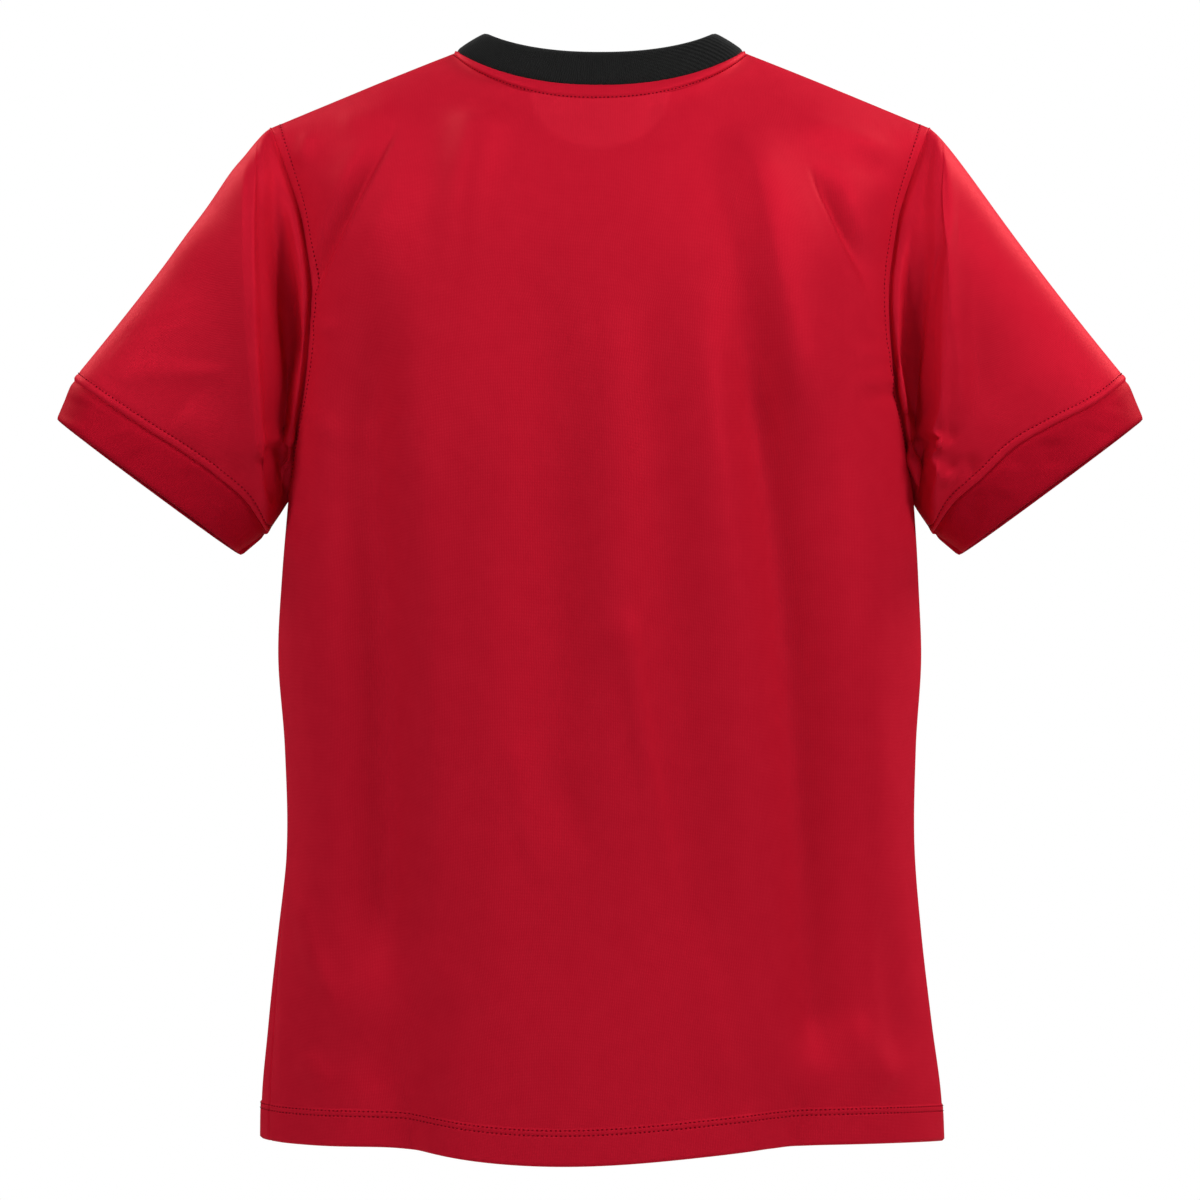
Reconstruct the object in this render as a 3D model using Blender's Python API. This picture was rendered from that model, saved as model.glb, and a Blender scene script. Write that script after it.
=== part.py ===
"""Football jersey with short sleeves, filled out as if worn, with nobody in it.

Metres, +Z up.  The back of the jersey faces +Y and the wearer's left sleeve is on +X.  The origin is
level with the points where the shoulder seams meet the neck, midway between them, where a wearer holds
the jersey up.  The outer face of the cloth is worked out as grids of points, one for each cut piece.
Neighbouring grids share the points of their seam.  Each grid is then given its wall, inward.
"""
import math

import bpy
import numpy as np
from mathutils import kdtree

# Cloth walls and seams
KNIT_WALL = 0.0015          # one layer of the body knit with its drape
HEM_WALL = 0.0026           # hem turned up once
CUFF_WALL = 0.0022          # cuff band, folded double
RIB_WALL = 0.0026           # collar rib, folded double
TAPE_WALL = 0.0010          # neck tape and the patch inside the neck
SEAM_GAP = 0.0003           # clear space between two pieces at a seam
LAY_GAP = 0.0003            # clear space under a piece that lies on another

# Body
UNDERARM_HEIGHT = -0.290
HEM_DEPTH = 0.0215          # from the edge to the upper twin-needle row

# Shoulders and neck
SHOULDER_TIP = (0.2130, 0.004, -0.0490)
NECK_POINT = (0.0926, 0.004, 0.0006)
NECK_POINT_SHARE = 0.38     # share of half a panel's columns that end on the neckline
TAPE_DEPTH = 0.0115         # width of the tape below the collar
COLLAR_TOP_HALF_WIDTH = 0.0732
COLLAR_RISE = {"side": 0.0117, "back": 0.0113, "front": 0.0085}     # at the sides, and more fore and aft
COLLAR_LEAN = {"back": 0.14, "front": 0.16}                         # share that its top leans in by

# Sleeves, wearer's left; the right one is its mirror image
SLEEVE_TOP_HANDLES = ((0.2130, -0.0490), (0.2295, -0.0610), (0.2590, -0.1135), (0.3406, -0.2117))
SLEEVE_UNDER_LINE = ((0.2014, -0.2900), (0.2165, -0.3120))
CUFF_EDGE_TOP = (0.3514, -0.2375)
CUFF_EDGE_UNDER = (0.2325, -0.3250)
CUFF_HALF_DEPTH = 0.042
CUFF_EDGE_BOW = 0.0025      # how far the middle of the cuff's edge sits up the sleeve
FAR_CUFF_DROP = 0.003       # the front of the cuff hangs a little lower than the back

# Body sections below the underarm, each an oval of the given squareness.
BODY_LEVELS = {
    "height": (-0.712, -0.675, -0.630, -0.570, -0.510, -0.450, -0.390, -0.340, -0.290),
    "half_width": (0.2226, 0.2208, 0.2146, 0.2072, 0.2024, 0.2040, 0.2079, 0.2054, 0.2014),
    "back_depth": (0.106, 0.105, 0.105, 0.106, 0.108, 0.111, 0.114, 0.117, 0.119),
    "front_depth": (0.106, 0.107, 0.109, 0.112, 0.115, 0.119, 0.123, 0.126, 0.127),
    "squareness": (2.10, 2.10, 2.15, 2.20, 2.25, 2.25, 2.25, 2.25, 2.25),
    "left_seam_turn": (19.0, 17.0, 13.0, 7.0, 2.0, 0.0, 0.0, 0.0, 0.0),
    "right_seam_turn": (0.0, 0.0, 0.0, 0.0, 0.0, 0.0, 0.0, 0.0, 0.0),
}

# Handles of the upper columns, which run from the chest over the shoulder blade or the collarbone.
# share: place across half a panel; rise: length of the handle above the chest; across, out and height:
# where the upper handle stands, below the shoulder seam or the neck.
CAP_COLUMNS = {
    "back": {
        "share": (0.00, 0.20, 0.38, 0.55, 0.80, 1.00),
        "rise": (0.135, 0.140, 0.150, 0.155, 0.150, 0.120),
        "across": (0.000, 0.051, 0.094, 0.130, 0.179, 0.214),
        "out": (0.111, 0.102, 0.085, 0.075, 0.060, 0.044),
        "height": (-0.100, -0.078, -0.042, -0.030, -0.045, -0.058),
    },
    "front": {
        "share": (0.00, 0.20, 0.38, 0.55, 0.80, 1.00),
        "rise": (0.090, 0.110, 0.150, 0.160, 0.150, 0.120),
        "across": (0.000, 0.052, 0.097, 0.131, 0.179, 0.214),
        "out": (0.098, 0.094, 0.080, 0.068, 0.054, 0.038),
        "height": (-0.135, -0.105, -0.045, -0.018, -0.035, -0.055),
    },
}

# Where the armhole cuts the side of the cap: climb from underarm to shoulder, share kept of half a panel.
ARMHOLE_CUT = {
    "climb": (0.00, 0.03, 0.08, 0.16, 0.30, 0.50, 0.68, 0.82, 0.92, 1.00),
    "back": (1.00, 0.945, 0.905, 0.850, 0.821, 0.875, 0.945, 0.980, 0.992, 1.00),
    "front": (1.00, 0.930, 0.880, 0.815, 0.775, 0.820, 0.905, 0.960, 0.985, 1.00),
}

# Height of the lower edge across each panel, from the right side seam (-1) to the left one (1).
HEM_EDGE = {
    "across": (-1.00, -0.85, -0.40, -0.20, 0.00, 0.22, 0.38, 0.62, 0.80, 1.00),
    "back": (-0.7028, -0.6998, -0.6975, -0.7012, -0.7054, -0.7074, -0.7055, -0.6976, -0.6992, -0.6989),
    "front": (-0.7028, -0.7005, -0.6990, -0.7025, -0.7050, -0.7040, -0.7010, -0.6985, -0.6988, -0.6989),
}

# How far the back of each cuff seam sits up the sleeve, from the top of the sleeve (0) to the underarm (1).
CUFF_SEAM_BOW = {
    "drop": (0.00, 0.15, 0.40, 0.56, 0.75, 0.90, 1.00),
    "left": (0.000, 0.0020, 0.0060, 0.0092, 0.0110, 0.0090, 0.002),
    "right": (0.000, 0.0010, 0.0088, 0.0128, 0.0103, 0.0085, 0.002),
}

NECKLINES = {
    "back": {"depth": 0.066, "drop": 0.0285, "squareness": 2.2, "fall": 1.7},
    "front": {"depth": 0.080, "drop": 0.0850, "squareness": 2.2, "fall": 1.35},
}

# Sleeve rings from the armhole seam to the cuff seam.
# top and under: share of the sleeve's top line and underside line; follow: how much of the armhole's
# inward curve the ring keeps; half_depth: how far the oval stands out fore and aft; high, middle and
# low: how far the fold on the back stands out (+) or sinks (-) there; front: the same on the front.
FOLD_PLACES = (0.0, 0.25, 0.60, 0.85, 1.0)      # of high, middle and low between no fold and no fold
SLEEVE_RINGS = {
    "top": (0.00, 0.020, 0.060, 0.095, 0.125, 0.150, 0.26, 0.44, 0.70, 1.00),
    "under": (0.00, 0.16, 0.28, 0.40, 0.52, 0.64, 0.75, 0.85, 0.93, 1.00),
    "follow": (1.00, 0.85, 0.50, 0.12, -0.05, -0.12, -0.05, 0.00, 0.00, 0.00),
    "half_depth": (0.050, 0.053, 0.055, 0.057, 0.058, 0.059, 0.058, 0.054, 0.048, 0.042),
    "high": (0.000, 0.002, -0.007, -0.004, -0.004, 0.002, 0.000, 0.000, 0.000, 0.000),
    "middle": (0.000, 0.003, -0.020, -0.008, -0.010, 0.003, 0.001, 0.000, 0.000, 0.000),
    "low": (0.000, 0.001, -0.010, -0.010, -0.008, 0.001, 0.000, 0.000, 0.000, 0.000),
    "front": (0.000, 0.003, -0.013, -0.005, -0.006, 0.002, 0.001, 0.000, 0.000, 0.000),
}

# The largest soft folds of the body: a ridge (+) or trough (-) between two places on a panel.
BODY_FOLDS = (
    # panel, across_a, height_a, across_b, height_b, half_width, stand
    ("back", 0.128, -0.716, 0.118, -0.600, 0.026, -0.008),
    ("back", -0.126, -0.716, -0.122, -0.610, 0.028, -0.007),
    ("back", 0.000, -0.716, 0.005, -0.560, 0.070, 0.005),
    ("front", 0.110, -0.716, 0.100, -0.590, 0.028, -0.008),
    ("front", -0.118, -0.716, -0.106, -0.600, 0.028, -0.007),
    ("front", 0.000, -0.716, 0.000, -0.560, 0.070, 0.004),
)

# Grid lines
NECK_COLUMNS = 12           # columns that end on the neckline, across a panel
SHOULDER_COLUMNS = 5        # columns that end on each shoulder seam
BODY_ROWS = 13
CLIMB_ROWS = (0.02, 0.07, 0.15, 0.27, 0.40, 0.53, 0.66, 0.78, 0.87, 0.935)
CUFF_ROWS = 2
COLLAR_ROWS = 2
PATCH_HALF_COLUMNS = 3
PATCH_ROWS = 2
ARC_SAMPLES = 241
LEAN_REACH = 0.01           # drop over which the lean of the chest is measured
LAST_ROW_SHARE = 0.7        # the last row keeps this share of a short stretch above it
SLEEVE_SQUARENESS = 2.3
SAME_PLACE = 1e-5           # points closer than this are one point of a seam
BODY_PANELS = {"back": "body", "front": "body"}
SHARPEST_SEAM = 0.25        # limits on how much a bent seam widens its gap and its wall
THICKEST_MITRE = 0.75

SHARP_ANGLE = math.radians(50)

# Finishes: colour and roughness
RED_CLOTH = ((0.62, 0.012, 0.035), 0.5)
CUFF_RED = ((0.50, 0.010, 0.026), 0.6)
PATCH_RED = ((0.66, 0.05, 0.07), 0.6)
RIB_BLACK = ((0.012, 0.012, 0.013), 0.8)


def curve_through(stations, values, at):
    """Smooth curve through a short table, read at the given places."""
    stations = np.asarray(stations, dtype=float)
    values = np.asarray(values, dtype=float)
    slopes = np.gradient(values, stations)
    at = np.clip(np.asarray(at, dtype=float), stations[0], stations[-1])
    left = np.clip(np.searchsorted(stations, at) - 1, 0, len(stations) - 2)
    step = stations[left + 1] - stations[left]
    t = (at - stations[left]) / step
    from_left = values[left] * (1 + 2 * t) * (1 - t) ** 2 + slopes[left] * step * t * (1 - t) ** 2
    from_right = values[left + 1] * t * t * (3 - 2 * t) + slopes[left + 1] * step * t * t * (t - 1)
    return from_left + from_right


def along_curve(points, shares):
    """Points at the given shares (0 to 1) of the length of a finely sampled curve."""
    steps = np.linalg.norm(np.diff(points, axis=0), axis=1)
    travelled = np.concatenate(([0.0], np.cumsum(steps))) / steps.sum()
    return np.stack([np.interp(shares, travelled, column) for column in points.T], axis=-1)


def oval(angles, half_width, back_depth, front_depth, squareness):
    """Oval of the given squareness; angle 0 is the wearer's left side and a quarter turn is the back."""
    cosine, sine = np.cos(angles), np.sin(angles)
    depth = np.where(sine >= 0, back_depth, front_depth)
    across = half_width * np.sign(cosine) * np.abs(cosine) ** (2 / squareness)
    out = depth * np.sign(sine) * np.abs(sine) ** (2 / squareness)
    return np.stack([across, out], axis=-1)


def body_section(panel, height, across):
    """Points of one panel at one height; across runs from -1 to 1, the wearer's left side seam."""
    level = {name: float(curve_through(BODY_LEVELS["height"], column, height))
             for name, column in BODY_LEVELS.items()}
    left_turn = math.radians(level["left_seam_turn"])
    right_turn = math.radians(level["right_seam_turn"])
    far_seam = math.pi - right_turn if panel == "back" else -math.pi - right_turn
    angles = np.linspace(far_seam, left_turn, ARC_SAMPLES)
    outline = oval(angles, level["half_width"], level["back_depth"], level["front_depth"],
                   level["squareness"])
    flat = along_curve(outline, (np.asarray(across) + 1) / 2)
    return np.column_stack([flat, np.full(len(flat), height)])


def neckline(panel, across):
    """Points of the neck seam of one panel, from the right neck point (-1) to the left one (1)."""
    shape = NECKLINES[panel]
    turn = np.linspace(-math.pi / 2, math.pi / 2, ARC_SAMPLES)
    sideways = NECK_POINT[0] * np.sign(turn) * np.abs(np.sin(turn)) ** (2 / shape["squareness"])
    out = np.abs(np.cos(turn)) ** (2 / shape["squareness"])
    depth = shape["depth"] if panel == "back" else -shape["depth"]
    outward = NECK_POINT[1] * (1 - out) + depth * out
    height = NECK_POINT[2] * (1 - out) - shape["drop"] * out ** shape["fall"]
    return along_curve(np.column_stack([sideways, outward, height]), (np.asarray(across) + 1) / 2)


def top_edge(panel, across):
    """Upper edge of a panel: the neckline in the middle and a shoulder seam on each side."""
    across = np.asarray(across, dtype=float)
    edge = neckline(panel, np.clip(across / NECK_POINT_SHARE, -1, 1))
    beyond = np.clip((np.abs(across) - NECK_POINT_SHARE) / (1 - NECK_POINT_SHARE), 0, 1)[:, None]
    side = np.where(across < 0, -1.0, 1.0)[:, None] * np.array([1.0, 0.0, 0.0]) + np.array([0.0, 1.0, 1.0])
    shoulder = (np.array(NECK_POINT) * (1 - beyond) + np.array(SHOULDER_TIP) * beyond) * side
    return np.where(beyond > 0, shoulder, edge)


def cap_points(panel, across, climb):
    """Points of the upper body between the chest (climb 0) and the top edge (climb 1)."""
    chest = body_section(panel, UNDERARM_HEIGHT, across)
    lean = (chest - body_section(panel, UNDERARM_HEIGHT - LEAN_REACH, across)) / LEAN_REACH
    column = {name: curve_through(CAP_COLUMNS[panel]["share"], values, np.abs(across))
              for name, values in CAP_COLUMNS[panel].items()}
    facing = 1.0 if panel == "back" else -1.0
    handle_low = chest + lean * column["rise"][:, None]
    handle_high = np.column_stack([column["across"] * np.sign(across), column["out"] * facing,
                                   column["height"]])
    top = top_edge(panel, across)
    rest = 1 - climb
    return (rest ** 3 * chest + 3 * rest ** 2 * climb * handle_low
            + 3 * rest * climb ** 2 * handle_high + climb ** 3 * top)


def panel_row(panel, across, climb):
    """One row of the upper body, slid inward so that its ends lie on the armholes."""
    kept = float(curve_through(ARMHOLE_CUT["climb"], ARMHOLE_CUT[panel], climb))
    slid = across * (1 - (1 - kept) * across ** 2)
    return cap_points(panel, slid, climb)


def body_column_shares():
    """Places of the columns across a panel, with one at each neck point."""
    neck = np.linspace(-NECK_POINT_SHARE, NECK_POINT_SHARE, NECK_COLUMNS + 1)
    shoulder = np.linspace(NECK_POINT_SHARE, 1, SHOULDER_COLUMNS + 1)[1:]
    return np.concatenate([-shoulder[::-1], neck, shoulder])


def unit(vectors):
    """Vectors of length one."""
    return vectors / np.maximum(np.linalg.norm(vectors, axis=-1, keepdims=True), 1e-12)


def grid_normals(points, around, outward):
    """Directions square to a grid of points; around says that its columns close into a ring."""
    if around:
        wide = np.concatenate([points[:, -1:], points, points[:, :1]], axis=1)
        across = wide[:, 2:] - wide[:, :-2]
    else:
        across = np.gradient(points, axis=1)
    return unit(np.cross(across, np.gradient(points, axis=0))) * outward


def panel_grid(panel):
    """Outer face of the front or back panel: rows from hem to top edge, columns from right to left."""
    across = body_column_shares()
    edge = curve_through(HEM_EDGE["across"], HEM_EDGE[panel], across)
    fold_line = HEM_DEPTH / (UNDERARM_HEIGHT - edge[0])
    rises = np.concatenate([[0.0], np.linspace(fold_line, 1.0, BODY_ROWS)])
    rows = []
    for rise in rises:
        heights = edge + (UNDERARM_HEIGHT - edge) * rise
        row = [body_section(panel, height, [place])[0] for height, place in zip(heights, across)]
        rows.append(np.array(row))
    for climb in CLIMB_ROWS:
        rows.append(panel_row(panel, across, climb))
    top = top_edge(panel, across)
    last_stretch = np.linalg.norm(rows[-1] - top, axis=-1, keepdims=True)
    rows.append(top + unit(rows[-1] - top) * np.minimum(TAPE_DEPTH, last_stretch * LAST_ROW_SHARE))
    rows.append(top)
    grid = np.array(rows)
    outward = -1.0 if panel == "back" else 1.0
    return grid + grid_normals(grid, False, outward) * panel_folds(panel, grid)[..., None]


def panel_folds(panel, grid):
    """How far the largest folds stand out of a panel at each of its points."""
    stand = np.zeros(grid.shape[:2])
    flat = grid[..., [0, 2]]
    for where, across_a, height_a, across_b, height_b, half_width, height in BODY_FOLDS:
        if where != panel:
            continue
        start = np.array([across_a, height_a])
        run = np.array([across_b, height_b]) - start
        travel = np.clip(((flat - start) @ run) / (run @ run), 0, 1)
        away = np.linalg.norm(flat - start - travel[..., None] * run, axis=-1)
        fading = np.cos(travel * math.pi / 2)
        stand += height * fading * np.exp(-(away / half_width) ** 2)
    return stand


def mirrored(points, side):
    """The same points on the wearer's left (side 1) or right (side -1)."""
    return points * np.array([side, 1.0, 1.0])


def armhole_loop(back, front, side):
    """Seam points round an armhole: from the shoulder tip down the back and up the front."""
    column = -1 if side > 0 else 0
    underarm_row = BODY_ROWS
    down_the_back = back[underarm_row:, column][::-1]
    up_the_front = front[underarm_row + 1:-1, column]
    return np.concatenate([down_the_back, up_the_front])


def bezier(handles, share):
    """Point of a cubic curve with four handles."""
    a, b, c, d = (np.array(handle) for handle in handles)
    rest = 1 - share
    return rest ** 3 * a + 3 * rest ** 2 * share * b + 3 * rest * share ** 2 * c + share ** 3 * d


def sleeve_rings(loop, side):
    """Rings of a sleeve from the armhole seam to the cuff seam; the first one is the armhole itself."""
    loop = mirrored(loop, side)
    under_index = int(np.argmin(loop[:, 2]))
    tip, underarm = loop[0], loop[under_index]
    drop = (tip[2] - loop[:, 2]) / (tip[2] - underarm[2])
    straight = tip + (underarm - tip) * drop[:, None]
    inset = (loop - straight) * np.array([1.0, 0.0, 0.0])
    on_back = np.arange(len(loop)) <= under_index
    facing = np.where(on_back, 1.0, -1.0)
    bulge = np.clip(1 - np.abs(2 * drop - 1) ** SLEEVE_SQUARENESS, 0, 1) ** (1 / SLEEVE_SQUARENESS)
    bulge[0] = bulge[under_index] = 0.0
    under_a, under_b = (np.array(end) for end in SLEEVE_UNDER_LINE)
    axis = unit(np.array(CUFF_EDGE_TOP) - np.array(SLEEVE_TOP_HANDLES[3]))
    side_name = "left" if side > 0 else "right"
    bow = curve_through(CUFF_SEAM_BOW["drop"], CUFF_SEAM_BOW[side_name], drop) * on_back
    rings = [loop]
    for index in range(1, len(SLEEVE_RINGS["top"])):
        ring = {name: column[index] for name, column in SLEEVE_RINGS.items()}
        high = bezier(SLEEVE_TOP_HANDLES, ring["top"])
        low = under_a * (1 - ring["under"]) + under_b * ring["under"]
        flat = high + (low - high) * drop[:, None]
        flat -= axis * (bow * ring["top"] ** 2)[:, None]
        back_fold = curve_through(FOLD_PLACES, (0.0, ring["high"], ring["middle"], ring["low"], 0.0), drop)
        fold = np.where(on_back, back_fold, ring["front"] * np.sin(math.pi * drop))
        own = np.abs(loop[:, 1] - straight[:, 1])
        close = ring["follow"] ** 2
        outward = facing * (ring["half_depth"] * bulge * (1 - close) + own * close + fold)
        middle_line = straight[:, 1] * ring["follow"]
        rings.append(np.column_stack([flat[:, 0] + inset[:, 0] * ring["follow"], middle_line + outward,
                                      flat[:, 1]]))
    return mirrored(np.array(rings), side)


def cuff_rings(sleeve, side):
    """Rings of a cuff band from the cuff seam to its open edge."""
    seam = mirrored(sleeve[-1], side)
    under_index = int(np.argmin(seam[:, 2]))
    share = np.abs(seam[:, 2] - seam[0, 2]) / abs(seam[under_index, 2] - seam[0, 2])
    top, under = np.array(CUFF_EDGE_TOP), np.array(CUFF_EDGE_UNDER)
    depth = seam[:, 1]
    axis = unit(top - np.array(SLEEVE_TOP_HANDLES[3]))
    flat = top + (under - top) * share[:, None]
    flat -= axis * CUFF_EDGE_BOW * np.clip(depth / CUFF_HALF_DEPTH, 0, 1)[:, None]
    droop = FAR_CUFF_DROP * np.clip(-depth / CUFF_HALF_DEPTH, 0, 1)
    edge = np.column_stack([flat[:, 0], depth, flat[:, 1] - droop])
    steps = np.linspace(0, 1, CUFF_ROWS + 1)[:, None, None]
    return mirrored(seam * (1 - steps) + edge * steps, side)


def collar_rings(back, front):
    """Rings of the rib collar from the neck seam to its upper edge."""
    first, last = SHOULDER_COLUMNS, SHOULDER_COLUMNS + NECK_COLUMNS
    over_the_back = back[-1, first:last + 1][::-1]
    round_the_front = front[-1, first + 1:last]
    seam = np.concatenate([over_the_back, round_the_front])
    shrink = COLLAR_TOP_HALF_WIDTH / NECK_POINT[0]
    backness = np.clip(seam[:, 1] / NECKLINES["back"]["depth"], 0, 1)
    frontness = np.clip(-seam[:, 1] / NECKLINES["front"]["depth"], 0, 1)
    rise = COLLAR_RISE["side"] + COLLAR_RISE["back"] * backness ** 2 + COLLAR_RISE["front"] * frontness ** 1.5
    lean = 1 - COLLAR_LEAN["back"] * backness - COLLAR_LEAN["front"] * frontness
    edge = np.column_stack([seam[:, 0] * shrink, seam[:, 1] * lean, seam[:, 2] + rise])
    steps = np.linspace(0, 1, COLLAR_ROWS + 1)[:, None, None]
    return seam * (1 - steps) + edge * steps


def shared_normals(grids):
    """Directions square to the cloth; where pieces share seam points they share one direction.

    Also gives how closely each piece's own direction agrees with the shared one: 1 on flat cloth and
    less where two pieces meet at an angle.
    """
    own = {name: grid_normals(points, around, outward) for name, (points, around, outward) in grids.items()}
    places = np.concatenate([points.reshape(-1, 3) for points, _, _ in grids.values()])
    directions = np.concatenate([own[name].reshape(-1, 3) for name in grids])
    pieces = np.concatenate([np.full(grid[0][..., 0].size, BODY_PANELS.get(name, name))
                             for name, grid in grids.items()])
    tree = kdtree.KDTree(len(places))
    for index, place in enumerate(places):
        tree.insert(place, index)
    tree.balance()

    def direction_at(place):
        hits = [hit[1] for hit in tree.find_range(place, SAME_PLACE)]
        meeting = {pieces[hit] for hit in hits}
        return sum(unit(sum(directions[hit] for hit in hits if pieces[hit] == piece))
                   for piece in sorted(meeting))

    shared, agreement = {}, {}
    for name, (points, _, _) in grids.items():
        summed = np.array([direction_at(place) for place in points.reshape(-1, 3)])
        shared[name] = unit(summed).reshape(points.shape)
        agreement[name] = np.clip((shared[name] * own[name]).sum(axis=-1, keepdims=True), 0, 1)
    return shared, agreement


def into_cloth(edge, neighbours, around):
    """Directions from an edge into the cloth, square to the edge."""
    if around:
        run = np.roll(edge, -1, axis=0) - np.roll(edge, 1, axis=0)
    else:
        run = np.gradient(edge, axis=0)
    run = unit(run)
    inward = neighbours - edge
    inward -= run * (inward * run).sum(axis=-1, keepdims=True)
    return unit(inward)


def drawn_in(points, around, agreement, bottom, top, sides):
    """A grid with its edges drawn in along the cloth by the given lengths, more where a seam is bent."""
    moved = points.copy()
    reach = 1 / np.maximum(agreement, SHARPEST_SEAM)
    moved[0] += into_cloth(points[0], points[1], around) * reach[0] * bottom
    moved[-1] += into_cloth(points[-1], points[-2], around) * reach[-1] * top
    if not around:
        moved[:, 0] += into_cloth(points[:, 0], points[:, 1], False) * reach[:, 0] * sides
        moved[:, -1] += into_cloth(points[:, -1], points[:, -2], False) * reach[:, -1] * sides
    return moved


def wall_offset(normals, agreement, wall):
    """How far the inner face lies from the outer one, a little more where a seam is bent."""
    return normals * wall / np.maximum(agreement, THICKEST_MITRE)


def wall_solid(name, outer, inner, around, finish):
    """One closed solid between two grids of points, as an object with its own material."""
    rows, columns = outer.shape[:2]
    vertices = np.concatenate([outer.reshape(-1, 3), inner.reshape(-1, 3)])
    inside = rows * columns
    faces = []

    def corner(row, column):
        return row * columns + column % columns

    last_column = columns if around else columns - 1
    for row in range(rows - 1):
        for column in range(last_column):
            a, b = corner(row, column), corner(row, column + 1)
            c, d = corner(row + 1, column + 1), corner(row + 1, column)
            if np.linalg.norm(vertices[a] - vertices[c]) <= np.linalg.norm(vertices[b] - vertices[d]):
                halves = ((a, b, c), (a, c, d))
            else:
                halves = ((a, b, d), (b, c, d))
            for first, second, third in halves:
                faces += [(first, second, third), (first + inside, third + inside, second + inside)]
    rim = [(corner(0, column + 1), corner(0, column)) for column in range(last_column)]
    rim += [(corner(rows - 1, column), corner(rows - 1, column + 1)) for column in range(last_column)]
    if not around:
        rim += [(corner(row, 0), corner(row + 1, 0)) for row in range(rows - 1)]
        rim += [(corner(row + 1, columns - 1), corner(row, columns - 1)) for row in range(rows - 1)]
    for a, b in rim:
        faces += [(a, b, b + inside), (a, b + inside, a + inside)]

    mesh = bpy.data.meshes.new(name)
    mesh.from_pydata([tuple(vertex) for vertex in vertices], [], faces)
    mesh.validate()
    if signed_volume(vertices, faces) < 0:
        mesh.flip_normals()
    mesh.shade_smooth()
    mesh.set_sharp_from_angle(angle=SHARP_ANGLE)
    mesh.materials.append(cloth_material(name, *finish))
    piece = bpy.data.objects.new(name, mesh)
    bpy.context.scene.collection.objects.link(piece)
    return piece


def signed_volume(vertices, faces):
    """Volume inside closed faces, negative where they face inward."""
    corners = vertices[np.array(faces)]
    return float(np.einsum("ij,ij->i", corners[:, 0], np.cross(corners[:, 1], corners[:, 2])).sum() / 6)


def cloth_material(name, colour, roughness):
    """Plain cloth material in the piece's colour."""
    material = bpy.data.materials.new(name + "_cloth")
    material.use_nodes = True
    shader = material.node_tree.nodes["Principled BSDF"]
    shader.inputs["Base Color"].default_value = (*colour, 1.0)
    shader.inputs["Roughness"].default_value = roughness
    shader.inputs["Metallic"].default_value = 0.0
    return material


def build_panels(grids, normals, agreement):
    """Front and back panels, thicker where the hem is turned up."""
    for panel in ("back", "front"):
        points, close = grids[panel][0], agreement[panel]
        wall = np.full(close.shape, KNIT_WALL)
        wall[:2] = HEM_WALL
        edge = SEAM_GAP / 2
        outer = drawn_in(points, False, close, 0.0, edge, edge)
        inner = outer - wall_offset(normals[panel], close, wall)
        wall_solid(panel + "_panel", outer, inner, False, RED_CLOTH)


def build_ring_piece(name, grid, normals, agreement, wall, top_gap, finish):
    """A piece that closes into a ring, such as a sleeve, a cuff or the collar."""
    outer = drawn_in(grid[0], True, agreement, SEAM_GAP / 2, top_gap, 0.0)
    wall_solid(name, outer, outer - wall_offset(normals, agreement, wall), True, finish)


def build_neck_tape(grids, normals):
    """Tape over the back neck seam, made from the panel's own points, moved out."""
    columns = slice(SHOULDER_COLUMNS, SHOULDER_COLUMNS + NECK_COLUMNS + 1)
    points = grids["back"][0][-2:, columns]
    square = normals["back"][-2:, columns]
    flat = np.ones(square.shape[:2] + (1,))
    under = drawn_in(points, False, flat, 0.0, SEAM_GAP * 2, SEAM_GAP) + square * LAY_GAP
    wall_solid("neck_tape", under + square * TAPE_WALL, under, False, RED_CLOTH)


def build_neck_patch(grids, normals):
    """Half-moon patch inside the back neck, made from the panel's own points, moved in."""
    middle = SHOULDER_COLUMNS + NECK_COLUMNS // 2
    columns = slice(middle - PATCH_HALF_COLUMNS, middle + PATCH_HALF_COLUMNS + 1)
    rows = slice(-2 - PATCH_ROWS, -1)
    points = grids["back"][0][rows, columns]
    square = normals["back"][rows, columns]
    outer = points - square * (KNIT_WALL + LAY_GAP)
    wall_solid("neck_patch", outer, outer - square * TAPE_WALL, False, PATCH_RED)


def build_jersey():
    """All pieces of the jersey."""
    back = panel_grid("back")
    front = panel_grid("front")
    grids = {"back": (back, False, -1.0), "front": (front, False, 1.0)}
    for side_name, side in (("left", 1.0), ("right", -1.0)):
        sleeve = sleeve_rings(armhole_loop(back, front, side), side)
        grids["sleeve_" + side_name] = (sleeve, True, -side)
        grids["cuff_" + side_name] = (cuff_rings(sleeve, side), True, -side)
    grids["collar"] = (collar_rings(back, front), True, 1.0)
    normals, agreement = shared_normals(grids)
    build_panels(grids, normals, agreement)
    for name, wall, top_gap, finish in (
            ("sleeve_left", KNIT_WALL, SEAM_GAP / 2, RED_CLOTH),
            ("sleeve_right", KNIT_WALL, SEAM_GAP / 2, RED_CLOTH),
            ("cuff_left", CUFF_WALL, 0.0, CUFF_RED),
            ("cuff_right", CUFF_WALL, 0.0, CUFF_RED),
            ("collar", RIB_WALL, 0.0, RIB_BLACK)):
        build_ring_piece(name, grids[name], normals[name], agreement[name], wall, top_gap, finish)
    build_neck_tape(grids, normals)
    build_neck_patch(grids, normals)


for startup_object in list(bpy.data.objects):
    bpy.data.objects.remove(startup_object, do_unlink=True)
build_jersey()
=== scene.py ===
# Football jersey with short sleeves, filled out as if worn, with nobody in it.  Metres, +Z up.  The back
# faces +Y and the wearer's left sleeve is on +X.
import math

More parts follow.
